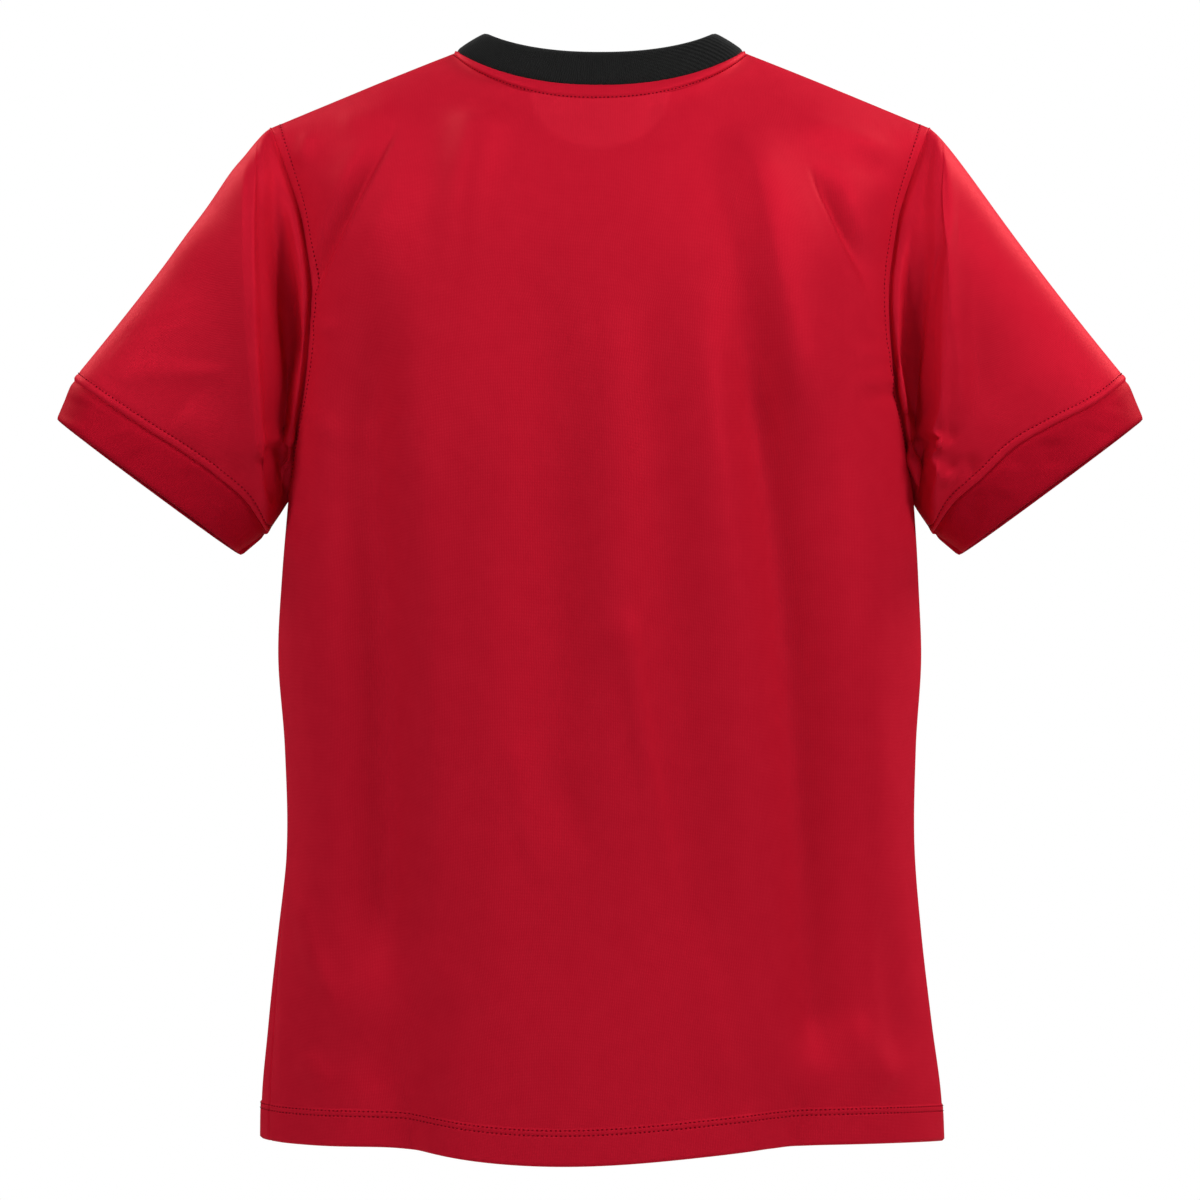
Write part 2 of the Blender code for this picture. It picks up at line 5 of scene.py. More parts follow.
import bpy
import numpy as np
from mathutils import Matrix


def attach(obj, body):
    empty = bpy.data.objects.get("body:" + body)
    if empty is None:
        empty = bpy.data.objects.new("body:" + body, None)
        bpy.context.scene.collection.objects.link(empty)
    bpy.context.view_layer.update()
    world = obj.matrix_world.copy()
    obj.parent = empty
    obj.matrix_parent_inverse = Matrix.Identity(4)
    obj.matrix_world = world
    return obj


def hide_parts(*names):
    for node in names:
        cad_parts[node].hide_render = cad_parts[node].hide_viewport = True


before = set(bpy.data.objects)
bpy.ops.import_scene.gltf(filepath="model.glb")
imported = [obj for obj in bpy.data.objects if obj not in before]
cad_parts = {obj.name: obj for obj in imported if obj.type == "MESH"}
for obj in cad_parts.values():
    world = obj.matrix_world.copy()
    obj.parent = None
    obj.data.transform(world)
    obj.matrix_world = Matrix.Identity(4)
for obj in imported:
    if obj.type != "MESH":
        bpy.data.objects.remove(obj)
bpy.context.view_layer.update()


# Camera: square to the back, level with the middle of the jersey, three metres away.
CAMERA_HEIGHT = -0.3542
CAMERA_DISTANCE = 3.0
camera = bpy.data.objects.new("camera", bpy.data.cameras.new("camera"))
camera.data.sensor_width = 36.0
camera.data.lens = 139.0
camera.location = (0.0, CAMERA_DISTANCE, CAMERA_HEIGHT)
camera.rotation_euler = (math.pi / 2, 0.0, math.pi)
bpy.context.scene.collection.objects.link(camera)
bpy.context.scene.camera = camera


# Back panel.  One piece of smooth red interlock knit, cut with a shallow neck and curved armholes.  Its
# hem is turned up once and held by two rows of twin-needle stitching.
KNIT_WALL = 0.0015
HEM_WALL = 0.0026
HEM_DEPTH = 0.0215          # from the edge up to the upper twin row
TWIN_ROWS = (0.0215, 0.0182)
UNDERARM_HEIGHT = -0.290
SHOULDER_TIP = (0.2130, 0.004, -0.0490)
NECK_POINT = (0.0926, 0.004, 0.0006)
NECK_POINT_SHARE = 0.38     # share of half a panel that ends on the neckline
TOPSTITCH = 0.0064          # from the armhole seam to the row of stitches beside it

# Where the face of the cloth stands out (+) or sinks (-) at a line: how far, and over what width.
ARMHOLE_ROLL = (-0.0004, 0.0007)
ARMHOLE_ALLOWANCE = (0.00025, 0.0020)
TOPSTITCH_GROOVE = (-0.00025, 0.0008)
SIDE_GROOVE = (-0.0010, 0.0009)
SHOULDER_GROOVE = (-0.0010, 0.0010)
NECK_GROOVE_SHARE = 0.6     # the neck seam's groove, as a share of the shoulder's
HEM_PLY = (0.0007, 0.0016)
TWIN_GROOVE = (-0.0003, 0.0008)
# The half-moon patch inside the back neck, as it shows through the cloth.
PATCH_SHOWS = {"half_width": 0.0440, "top": -0.0310, "depth": 0.0390, "stand": 0.0004}

# Grid of a panel: shares of half its width, heights in the hem and shares of the climb from the underarm
# to the top edge, each from and to, and how many.  It is finer beside the seams and over the hem's ply.
SEAM_STRIP_SHARE = 0.945
NECK_COLUMNS = (-NECK_POINT_SHARE, NECK_POINT_SHARE, 67)
SIDE_COLUMNS = ((NECK_POINT_SHARE, SEAM_STRIP_SHARE, 60), (SEAM_STRIP_SHARE, 1.0, 21))
HEM_ROWS = ((0.0, 0.0160, 11), (0.0160, 0.0240, 24))
TRUNK_ROWS = (0.0, 1.0, 86)
CAP_ROWS = ((0.0, 0.95, 83), (0.95, 1.0, 13))
TRUNK_LEVELS = 120          # worked out and then read between
SMOOTHING_PASSES = 170
SMOOTHING_STEP = 0.25
STILL_AT_TOP = 0.030        # the columns are not smoothed near the top edge,
STILL_AT_SIDE = (0.010, 0.020)   # nor near the sides, where this is from and over what width
FOLDS_END_AT_TOP = 0.013
FOLDS_END_AT_SIDE = 0.011
FOLDS_AT_ARMHOLE = 0.10     # the share of a fold that runs on into the armhole seam
PANEL_UNEVEN = 0.0007
OUTLINE_STEPS = 241         # along an outline before it is spaced evenly
FOLD_STEPS = 12             # between two points of a fold's line
FOLD_REACH = 3.2            # where a fold ends, in widths from its line

# Sections of the trunk, each an oval of the given squareness; the side seams swing as they go down.
BODY_LEVELS = {
    "height": (-0.712, -0.675, -0.630, -0.570, -0.510, -0.450, -0.390, -0.340, -0.290),
    "half_width": (0.2226, 0.2208, 0.2146, 0.2072, 0.2024, 0.2040, 0.2079, 0.2054, 0.2014),
    "back_depth": (0.106, 0.105, 0.105, 0.106, 0.108, 0.111, 0.114, 0.117, 0.119),
    "front_depth": (0.106, 0.107, 0.109, 0.112, 0.115, 0.119, 0.123, 0.126, 0.127),
    "squareness": (2.10, 2.10, 2.15, 2.20, 2.25, 2.25, 2.25, 2.25, 2.25),
    "left_seam_turn": (19.0, 17.0, 13.0, 7.0, 2.0, 0.0, 0.0, 0.0, 0.0),
}

# Columns over the shoulder blades and the collarbones: the length of the lower handle, and where the
# upper handle stands.
CAP_COLUMNS = {
    "back": {
        "share": (0.00, 0.20, 0.38, 0.55, 0.80, 1.00),
        "rise": (0.135, 0.140, 0.150, 0.155, 0.150, 0.120),
        "across": (0.000, 0.051, 0.094, 0.130, 0.179, 0.214),
        "out": (0.111, 0.102, 0.085, 0.075, 0.060, 0.044),
        "height": (-0.100, -0.078, -0.042, -0.030, -0.045, -0.058),
    },
    "front": {
        "share": (0.00, 0.20, 0.38, 0.55, 0.80, 1.00),
        "rise": (0.090, 0.110, 0.150, 0.160, 0.150, 0.120),
        "across": (0.000, 0.052, 0.097, 0.131, 0.179, 0.214),
        "out": (0.098, 0.094, 0.080, 0.068, 0.054, 0.038),
        "height": (-0.135, -0.105, -0.045, -0.018, -0.035, -0.055),
    },
}
ARMHOLE_CUT = {
    "climb": (0.00, 0.03, 0.08, 0.16, 0.30, 0.50, 0.68, 0.82, 0.92, 1.00),
    "back": (1.00, 0.945, 0.905, 0.850, 0.821, 0.875, 0.945, 0.980, 0.992, 1.00),
    "front": (1.00, 0.930, 0.880, 0.815, 0.775, 0.820, 0.905, 0.960, 0.985, 1.00),
}
HEM_EDGE = {
    "across": (-1.00, -0.85, -0.40, -0.20, 0.00, 0.22, 0.38, 0.62, 0.80, 1.00),
    "back": (-0.7028, -0.6998, -0.6975, -0.7012, -0.7054, -0.7074, -0.7055, -0.6976, -0.6992, -0.6989),
    "front": (-0.7028, -0.7005, -0.6990, -0.7025, -0.7050, -0.7040, -0.7010, -0.6985, -0.6988, -0.6989),
}
NECKLINES = {
    "back": {"depth": 0.066, "drop": 0.0285, "squareness": 2.2, "fall": 1.7},
    "front": {"depth": 0.080, "drop": 0.0850, "squareness": 2.2, "fall": 1.35},
}

# Folds, in millimetres, are drawn as lines of (across, height), downward, or from the wearer's left to the
# right.  left and right: how wide the fold is on each side of its line, where below counts as left on a
# line that runs across; stand: how far it stands out (+) or sinks (-); fade: the shares of its length at
# the start and at the end over which it dies away.
BACK_FOLDS = (
    # line, left, right, stand, fade
    # broad falls of the cloth
    (((128, -716), (118, -600)), 26, 26, -13.5, (0.01, 0.9)),
    (((-126, -716), (-122, -610)), 28, 28, -11.9, (0.01, 0.9)),
    (((0, -716), (5, -560)), 70, 70, 8.5, (0.01, 0.9)),
    (((70.9, -36.9), (78.4, -72), (85.3, -113.4), (90.9, -166.1), (92, -260)), 20, 17, 10.7, (0.15, 0.75)),
    (((-87.8, -45.1), (-107.8, -141.6), (-122.3, -213.1), (-134.8, -291.5)), 14, 26, 11.6, (0.15, 0.4)),
    (((-150, -213.1), (-160, -291.5), (-168, -416.9), (-178, -510.9), (-188, -640)), 20, 20, 5, (0.3, 0.4)),
    (((-78, -125), (-98, -228.8), (-116, -329.1), (-128, -448.2), (-136, -573.6), (-142, -660)),
     21, 22, -15.1, (0.25, 0.12)),
    (((134, -134.7), (150, -241.3), (144, -354.2), (140, -454.5), (139, -620)),
     22, 22, -14.3, (0.25, 0.12)),
    (((104, -200), (102, -350), (100, -473.3), (100, -590)), 20, 24, 4.3, (0.3, 0.25)),
    (((-70, -90), (-76, -260), (-90, -420), (-100, -650)), 24, 18, 5, (0.25, 0.3)),
    (((-33, -140), (-38, -300), (-50, -500), (-56, -650)), 20, 20, -5.7, (0.25, 0.3)),
    (((-4, -140), (-8, -300), (-10, -560)), 18, 20, 4.3, (0.25, 0.35)),
    (((30, -90), (30, -260), (28, -400), (30, -560)), 20, 20, -5.4, (0.25, 0.35)),
    (((64, -150), (68, -320), (64, -500), (70, -650)), 22, 18, 5, (0.25, 0.3)),
    # drag lines from the shoulder blades to the armholes
    (((126, -48), (134, -64), (149, -89.5), (166, -121.5), (180, -149), (188, -165)),
     8, 2.1, -6.4, (0.6, 0.05)),
    (((144, -56), (160, -86), (174, -116)), 10, 7, 2.2, (0.45, 0.5)),
    (((109, -62), (130, -105), (156, -156)), 12, 22, 2.6, (0.45, 0.4)),
    (((-129, -76), (-138, -93), (-150, -117), (-162, -140), (-176, -168)), 2, 9.5, -6, (0.4, 0.45)),
    (((-148, -76), (-162, -110), (-174, -142)), 9, 13, 2, (0.45, 0.4)),
    (((-115, -70), (-130, -120), (-152, -170)), 20, 10, 2.2, (0.45, 0.4)),
    (((-188, -197.4), (-153.6, -201.2)), 4.5, 6, 1.4, (0.02, 0.7)),
    (((-188, -211.9), (-153, -218)), 4, 4.5, 1.9, (0.02, 0.7)),
    (((-188, -221.5), (-156.7, -230)), 3.5, 4, -1.9, (0.02, 0.7)),
    (((186, -177), (159, -187)), 4.5, 5, 1.4, (0.02, 0.7)),
    (((186, -235), (160, -262)), 7, 6, 1.4, (0.02, 0.7)),
    # over the shoulders
    (((-123, -48), (-156.7, -56.4), (-196, -70)), 8, 7, 1.4, (0.35, 0.3)),
    (((-119.1, -64), (-156.7, -72), (-196, -92)), 8, 9, -1.4, (0.35, 0.3)),
    (((184, -52), (195, -78)), 6, 6, 1.4, (0.3, 0.4)),
    (((125.4, -37.6), (170, -52)), 9, 8, 1.2, (0.3, 0.3)),
    # dimples and puckers under the two tacks of the neck tape
    (((34.5, -38.5), (34, -45)), 2.8, 2.8, -1.2, (0.3, 0.3)),
    (((-34.5, -38.5), (-34, -45)), 2.8, 2.8, -1.2, (0.3, 0.3)),
    (((32.6, -44), (30.1, -56.4), (21.3, -84.6)), 5, 6, -1, (0.05, 0.75)),
    (((-32.6, -44), (-30.1, -56.4), (-22.6, -81.4)), 6, 5, -1, (0.05, 0.75)),
    # long thin creases down the middle of the back
    (((-17.6, -354.2), (-19.4, -376.8), (-23.8, -415.6), (-31.3, -460.8), (-42, -515), (-50.2, -570)),
     11, 5, 3.1, (0.25, 0.45)),
    (((-10, -370), (-15, -430), (-23, -490)), 16, 7, -2.5, (0.35, 0.4)),
    (((56.4, -432), (52.7, -458.3), (45.1, -503.4), (33.2, -540)), 7, 11, 2.2, (0.35, 0.4)),
    (((24, -450), (12, -520)), 13, 10, -2.2, (0.45, 0.45)),
    (((-56, -545), (-70, -620), (-80, -670)), 15, 11, 2.7, (0.35, 0.35)),
    # the hem's corners
    (((100, -585), (114.1, -611.9), (130.4, -639.5), (154, -670)), 16, 22, -6, (0.4, 0.25)),
    (((195, -520), (186.2, -561.1), (177.4, -587.4), (156.7, -630)), 9, 7, 2.4, (0.3, 0.3)),
    (((190, -642), (170, -664)), 9, 8, 2.2, (0.3, 0.25)),
    (((-156, -610), (-170, -640), (-188, -668)), 12, 11, 3.6, (0.4, 0.2)),
    (((-179, -530), (-185, -600), (-198, -660)), 10, 12, -3.6, (0.4, 0.3)),
    (((130.4, -656), (119, -706)), 6, 8, -1.9, (0.4, 0.01)),
    (((-132.9, -660), (-124, -706)), 8, 6, -1.7, (0.4, 0.01)),
    (((-84.6, -670.8), (-109, -700)), 6, 7, 1.2, (0.35, 0.2)),
)

# The knit's colour runs between these two: by a random unevenness of the cloth, by painted shade between the
# loops of its relief, and lighter where the patch inside shows through.
KNIT_LIGHT = (0.640, 0.0120, 0.0335)
KNIT_DARK = (0.560, 0.0070, 0.0250)


def runs(*parts):
    """Places in runs of (start, end, how many), each of which starts where the last one ended."""
    return np.concatenate([np.linspace(*parts[0])] + [np.linspace(*part)[1:] for part in parts[1:]])


def curve_through(stations, values, at):
    """Smooth curve through a short table, read at the given places."""
    stations = np.asarray(stations, dtype=float)
    values = np.asarray(values, dtype=float)
    slopes = np.gradient(values, stations)
    at = np.clip(np.asarray(at, dtype=float), stations[0], stations[-1])
    left = np.clip(np.searchsorted(stations, at) - 1, 0, len(stations) - 2)
    step = stations[left + 1] - stations[left]
    t = (at - stations[left]) / step
    from_left = values[left] * (1 + 2 * t) * (1 - t) ** 2 + slopes[left] * step * t * (1 - t) ** 2
    from_right = values[left + 1] * t * t * (3 - 2 * t) + slopes[left + 1] * step * t * t * (t - 1)
    return from_left + from_right


def eased(value, width):
    """Rises smoothly from 0 to 1 as the value goes from 0 to the width."""
    t = np.clip(value / width, 0, 1)
    return t * t * (3 - 2 * t)


def unit(vectors):
    """Vectors of length one."""
    return vectors / np.maximum(np.linalg.norm(vectors, axis=-1, keepdims=True), 1e-12)


def travelled(points):
    """Length along each line of points, from its start, along the second-last axis."""
    steps = np.linalg.norm(np.diff(points, axis=-2), axis=-1)
    return np.concatenate([np.zeros(steps.shape[:-1] + (1,)), np.cumsum(steps, axis=-1)], axis=-1)


def along_curve(points, shares):
    """Points at the given shares (0 to 1) of the length of a finely sampled curve."""
    length = travelled(points)
    return np.stack([np.interp(shares, length / length[-1], points[:, axis])
                     for axis in range(points.shape[1])], axis=-1)


def body_section(panel, height, across):
    """Points of one panel at one height; across runs from -1 to 1, the wearer's left side seam."""
    level = {name: float(curve_through(BODY_LEVELS["height"], column, height))
             for name, column in BODY_LEVELS.items()}
    far_seam = math.pi if panel == "back" else -math.pi
    angles = np.linspace(far_seam, math.radians(level["left_seam_turn"]), OUTLINE_STEPS)
    depth = np.where(np.sin(angles) >= 0, level["back_depth"], level["front_depth"])
    power = 2 / level["squareness"]
    cosine, sine = np.cos(angles), np.sin(angles)
    outline = np.stack([level["half_width"] * np.sign(cosine) * np.abs(cosine) ** power,
                        depth * np.sign(sine) * np.abs(sine) ** power], axis=-1)
    flat = along_curve(outline, (np.asarray(across) + 1) / 2)
    return np.column_stack([flat, np.full(len(flat), height)])


def neckline(panel, across):
    """Points of the neck seam of one panel, from the right neck point (-1) to the left one (1)."""
    shape = NECKLINES[panel]
    turn = np.linspace(-math.pi / 2, math.pi / 2, OUTLINE_STEPS)
    sideways = NECK_POINT[0] * np.sign(turn) * np.abs(np.sin(turn)) ** (2 / shape["squareness"])
    out = np.abs(np.cos(turn)) ** (2 / shape["squareness"])
    depth = shape["depth"] if panel == "back" else -shape["depth"]
    outward = NECK_POINT[1] * (1 - out) + depth * out
    height = NECK_POINT[2] * (1 - out) - shape["drop"] * out ** shape["fall"]
    return along_curve(np.column_stack([sideways, outward, height]), (np.asarray(across) + 1) / 2)


def top_edge(panel, across):
    """Upper edge of a panel: the neckline in the middle and a shoulder seam on each side."""
    edge = neckline(panel, np.clip(across / NECK_POINT_SHARE, -1, 1))
    beyond = np.clip((np.abs(across) - NECK_POINT_SHARE) / (1 - NECK_POINT_SHARE), 0, 1)[:, None]
    side = np.column_stack([np.sign(across), np.ones(len(across)), np.ones(len(across))])
    shoulder = (np.array(NECK_POINT) * (1 - beyond) + np.array(SHOULDER_TIP) * beyond) * side
    return np.where(beyond > 0, shoulder, edge)


def cap_row(panel, across, climb):
    """One row of the upper body, from the chest (climb 0) to the top edge (1), ending on the armholes."""
    kept = float(curve_through(ARMHOLE_CUT["climb"], ARMHOLE_CUT[panel], climb))
    across = across * (1 - (1 - kept) * across ** 2)
    below = 0.01
    chest = body_section(panel, UNDERARM_HEIGHT, across)
    lean = (chest - body_section(panel, UNDERARM_HEIGHT - below, across)) / below
    column = {name: curve_through(CAP_COLUMNS[panel]["share"], values, np.abs(across))
              for name, values in CAP_COLUMNS[panel].items()}
    facing = 1.0 if panel == "back" else -1.0
    handle_low = chest + lean * column["rise"][:, None]
    handle_high = np.column_stack([column["across"] * np.sign(across), column["out"] * facing,
                                   column["height"]])
    rest = 1 - climb
    return (rest ** 3 * chest + 3 * rest ** 2 * climb * handle_low
            + 3 * rest * climb ** 2 * handle_high + climb ** 3 * top_edge(panel, across))


def trunk_rows(panel, across):
    """Rows below the underarm, closer together in the hem."""
    edge = curve_through(HEM_EDGE["across"], HEM_EDGE[panel], across)
    hem = edge + runs(*HEM_ROWS)[:, None]
    rise = np.linspace(*TRUNK_ROWS)[1:, None]
    heights = np.concatenate([hem, hem[-1] * (1 - rise) + UNDERARM_HEIGHT * rise])
    levels = np.linspace(heights.min(), UNDERARM_HEIGHT, TRUNK_LEVELS)
    sections = np.array([body_section(panel, level, across) for level in levels])
    place = (heights - levels[0]) / (levels[1] - levels[0])
    low = np.clip(place.astype(int), 0, len(levels) - 2)
    share = (place - low)[..., None]
    column = np.arange(len(across))
    return sections[low, column] * (1 - share) + sections[low + 1, column] * share


def grid_normals(points, around, outward):
    """Directions square to a grid of points; around says that its columns close into a ring."""
    if around:
        wide = np.concatenate([points[:, -1:], points, points[:, :1]], axis=1)
        across = wide[:, 2:] - wide[:, :-2]
    else:
        across = np.gradient(points, axis=1)
    return unit(np.cross(across, np.gradient(points, axis=0))) * outward


def fold_stand(points, folds, mirror=1.0):
    """How far the folds of a table lift the cloth at each of its points."""
    flat = points[..., [0, 2]] * np.array([mirror, 1.0])
    stand = np.zeros(flat.shape[:-1])
    for line, left, right, height, fade in folds:
        line, left, right, height = (np.array(value) / 1000 for value in (line, left, right, height))
        ends = np.arange(len(line))
        places = np.linspace(0, ends[-1], FOLD_STEPS * ends[-1] + 1)
        smooth = np.column_stack([curve_through(ends, line[:, axis], places) for axis in (0, 1)])
        reach = FOLD_REACH * max(left, right)
        near = ((flat > smooth.min(axis=0) - reach) & (flat < smooth.max(axis=0) + reach)).all(axis=-1)
        if not near.any():
            continue
        spot = flat[near]
        start, run = smooth[:-1], np.diff(smooth, axis=0)
        offset = spot[:, None] - start
        travel = np.clip((offset * run).sum(axis=-1) / (run * run).sum(axis=-1), 0, 1)
        away = np.linalg.norm(offset - travel[..., None] * run, axis=-1)
        nearest = away.argmin(axis=1)
        index = np.arange(len(spot))
        turn = run[nearest, 0] * offset[index, nearest, 1] - run[nearest, 1] * offset[index, nearest, 0]
        width = np.where(turn > 0, left, right)
        share = (nearest + travel[index, nearest]) / len(run)
        strength = eased(share, fade[0]) * eased(1 - share, fade[1])
        stand[near] += height * strength * np.exp(-(away[index, nearest] / width) ** 2)
    return stand


def uneven(points, depth):
    """Slight unevenness of hanging cloth: a few long waves at odd angles."""
    draw = np.random.default_rng(7)
    stand = np.zeros(points.shape[:-1])
    for _ in range(9):
        wave = draw.normal(size=3) * np.array([1.0, 1.0, 0.55]) / 0.040
        stand += np.sin(points @ wave + draw.uniform(0, 6.3))
    return stand * depth / 3


def at_line(away, relief):
    """How far the cloth stands out beside a seam or a row of stitches, by its relief of (how far, width)."""
    height, width = relief
    return height * np.exp(-(away / width) ** 2)


def armhole_relief(away):
    """Cloth beside an armhole: it rolls into the seam, lies thick over the allowance, and is drawn in
    along the row of stitches."""
    height, width = ARMHOLE_ALLOWANCE
    allowance = height * (1 - eased(away - TOPSTITCH, width))
    return at_line(away, ARMHOLE_ROLL) + allowance + at_line(away - TOPSTITCH, TOPSTITCH_GROOVE)


def panel_cloth(panel, folds, outward):
    """Outer face of the front or back: points with their folds, and how far each is from its edges."""
    side = runs(*SIDE_COLUMNS)[1:]
    across = np.concatenate([-side[::-1], np.linspace(*NECK_COLUMNS), side])
    climbs = runs(*CAP_ROWS)[1:]
    base = np.concatenate([trunk_rows(panel, across), [cap_row(panel, across, climb) for climb in climbs]])
    from_hem = travelled(base.transpose(1, 0, 2)).T
    from_top = from_hem[-1] - from_hem
    along = travelled(base)
    from_side = np.minimum(along, along[:, -1:] - along)
    free = eased(from_top, STILL_AT_TOP) * eased(from_side - STILL_AT_SIDE[0], STILL_AT_SIDE[1])
    free = free[:, 1:-1, None] * SMOOTHING_STEP
    for _ in range(SMOOTHING_PASSES):
        base[:, 1:-1] += free * (base[:, :-2] - 2 * base[:, 1:-1] + base[:, 2:])
    normals = grid_normals(base, False, outward)
    above_underarm = eased(base[..., 2] - UNDERARM_HEIGHT, 0.040)
    inside = eased(from_side, FOLDS_END_AT_SIDE)
    ease = (inside + (1 - inside) * above_underarm * FOLDS_AT_ARMHOLE) * eased(from_top, FOLDS_END_AT_TOP)
    stand = (fold_stand(base, folds) + uneven(base, PANEL_UNEVEN)) * ease
    return {"points": base + normals * stand[..., None], "outward": outward,
            "from_hem": from_hem, "from_top": from_top, "from_side": from_side,
            "underarm_row": len(base) - len(climbs) - 1, "across": across}


def patch_share(points):
    """1 where the half-moon patch lies inside the neck, easing to 0 outside it."""
    across = points[..., 0] / PATCH_SHOWS["half_width"]
    down = (PATCH_SHOWS["top"] - points[..., 2]) / PATCH_SHOWS["depth"]
    return (1 - eased(np.hypot(across, down) - 0.96, 0.08)) * eased(down + 0.02, 0.04)


def line_on(points, measure, value):
    """Where a measure that grows along each row of a grid reaches a value."""
    place = np.array([np.interp(value, row, np.arange(len(row))) for row in measure])
    low = np.clip(place.astype(int), 0, points.shape[1] - 2)
    share = (place - low)[:, None]
    index = np.arange(len(points))
    return points[index, low] * (1 - share) + points[index, low + 1] * share


def stitch_row(points, normals, measure, value):
    """Line of stitches, and the directions square to the cloth, where a measure reaches a value."""
    return line_on(points, measure, value), line_on(normals, measure, value)


def sew(name, outer, inner, outward, around, material):
    """One closed piece of cloth between two grids of points, with rounded edges and a map of the cloth."""
    rows, columns = outer.shape[:2]
    spans = columns if around else columns - 1
    row, column = np.meshgrid(np.arange(rows - 1), np.arange(spans), indexing="ij")
    patches = np.stack([row, column, row, column + 1, row + 1, column + 1, row + 1, column], axis=-1)
    patches = patches.reshape(-1, 4, 2)
    bottom = [(0, c) for c in range(spans + 1)]
    top = [(rows - 1, c) for c in range(spans, -1, -1)]
    if around:
        rims = [bottom, top]
    else:
        right = [(r, columns - 1) for r in range(1, rows)]
        left = [(r, 0) for r in range(rows - 2, -1, -1)]
        rims = [bottom + right + top[1:] + left]
    away = np.zeros(outer.shape)
    away[0] += unit(outer[0] - outer[1])
    away[-1] += unit(outer[-1] - outer[-2])
    if not around:
        away[:, 0] += unit(outer[:, 0] - outer[:, 1])
        away[:, -1] += unit(outer[:, -1] - outer[:, -2])
    thickness = np.linalg.norm(outer - inner, axis=-1, keepdims=True)
    between = (outer + inner) / 2 + unit(away) * thickness * 0.45
    size = rows * columns
    rim_index = np.full(outer.shape[:2], -1)
    rim_points = []
    for rim in rims:
        for r, c in rim:
            if rim_index[r, c % columns] < 0:
                rim_index[r, c % columns] = 2 * size + len(rim_points)
                rim_points.append(between[r, c % columns])
    outer_faces = patches[..., 0] * columns + patches[..., 1] % columns
    faces = [outer_faces, outer_faces[:, ::-1] + size]
    places = [patches, patches[:, ::-1]]
    for rim in rims:
        rim = np.array(rim)
        a, b = rim[:-1], rim[1:]
        edge_a, edge_b = a[:, 0] * columns + a[:, 1] % columns, b[:, 0] * columns + b[:, 1] % columns
        mid_a, mid_b = rim_index[a[:, 0], a[:, 1] % columns], rim_index[b[:, 0], b[:, 1] % columns]
        faces.append(np.stack([edge_b, edge_a, mid_a, mid_b], axis=-1))
        faces.append(np.stack([mid_b, mid_a, edge_a + size, edge_b + size], axis=-1))
        places += [np.stack([b, a, a, b], axis=1)] * 2
    faces, places = np.concatenate(faces), np.concatenate(places)
    if outward < 0:
        faces, places = faces[:, ::-1], places[:, ::-1]
    mesh = bpy.data.meshes.new(name)
    vertices = np.concatenate([outer.reshape(-1, 3), inner.reshape(-1, 3), np.array(rim_points)])
    mesh.from_pydata(vertices.tolist(), [], faces.tolist())
    wrapped = np.concatenate([outer, outer[:, :1]], axis=1) if around else outer
    across = travelled(wrapped)
    across -= across[:, -1:] / 2
    up = travelled(wrapped.transpose(1, 0, 2)).T
    cloth_map = np.stack([across, up], axis=-1)[places[..., 0], places[..., 1]]
    layer = mesh.uv_layers.new(name="cloth")
    layer.uv.foreach_set("vector", cloth_map.astype(np.float32).ravel())
    mesh.shade_smooth()
    mesh.materials.append(material)
    piece = bpy.data.objects.new(name, mesh)
    bpy.context.scene.collection.objects.link(piece)
    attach(piece, "root")
    return piece


def stitches(name, lines, thread, length=0.0016, spacing=0.0029, radius=0.00038):
    """Rows of lockstitch: each stitch is a short arched length of thread, joined into one mesh."""
    vertices, faces = [], []
    along = np.array((-1.0, -0.62, 0.0, 0.62, 1.0))
    thick = np.array((0.35, 0.85, 1.0, 0.85, 0.35))
    arch = np.array((-0.9, 0.25, 0.6, 0.25, -0.9))
    sections, sides = len(along), 5
    turn = np.arange(sides) * 2 * math.pi / sides
    for points, normals in lines:
        far = travelled(points)
        count = int(far[-1] / spacing)
        middles = (np.arange(count) + 0.5) * far[-1] / count
        centre = np.stack([np.interp(middles, far, points[:, axis]) for axis in range(3)], axis=-1)
        square = unit(np.stack([np.interp(middles, far, normals[:, axis]) for axis in range(3)], axis=-1))
        ahead = np.stack([np.interp(middles + 0.0004, far, points[:, axis]) for axis in range(3)], axis=-1)
        forward = unit(ahead - centre + 1e-9)
        sideways = np.cross(forward, square)
        ring = (centre[:, None, None] + forward[:, None, None] * (along * length / 2)[:, None, None]
                + square[:, None, None] * ((arch + np.cos(turn)[:, None] * thick).T * radius)[..., None]
                + sideways[:, None, None] * (np.sin(turn)[:, None] * thick).T[..., None] * radius)
        first = sum(len(part) for part in vertices)
        vertices.append(ring.reshape(-1, 3))
        for stitch in range(count):
            start = first + stitch * sections * sides
            for section in range(sections - 1):
                for side in range(sides):
                    a, b = (start + section * sides + corner % sides for corner in (side, side + 1))
                    faces.append((a, b, b + sides, a + sides))
            faces.append(tuple(start + side for side in range(sides - 1, -1, -1)))
            faces.append(tuple(start + (sections - 1) * sides + side for side in range(sides)))
    mesh = bpy.data.meshes.new(name)
    mesh.from_pydata(np.concatenate(vertices).tolist(), [], faces)
    mesh.shade_smooth()
    mesh.materials.append(thread)
    piece = bpy.data.objects.new(name, mesh)
    bpy.context.scene.collection.objects.link(piece)
    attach(piece, "root")
    return piece


def socket(sockets, name):
    """An input or output of a node, by its number, its name or its identifier."""
    if isinstance(name, int) or name in sockets:
        return sockets[name]
    return next(one for one in sockets if one.identifier == name)


def feed(node, inputs):
    """Sets a node's inputs: a value fills one, and another node's output is joined to it."""
    for name, value in inputs.items():
        if isinstance(value, bpy.types.NodeSocket):
            node.id_data.links.new(value, socket(node.inputs, name))
        else:
            socket(node.inputs, name).default_value = value


def node_with(tree, kind, output, inputs, **settings):
    """Adds a shader node and gives one of its outputs."""
    node = tree.nodes.new("ShaderNode" + kind)
    for setting, value in settings.items():
        setattr(node, setting, value)
    feed(node, inputs)
    return socket(node.outputs, output)


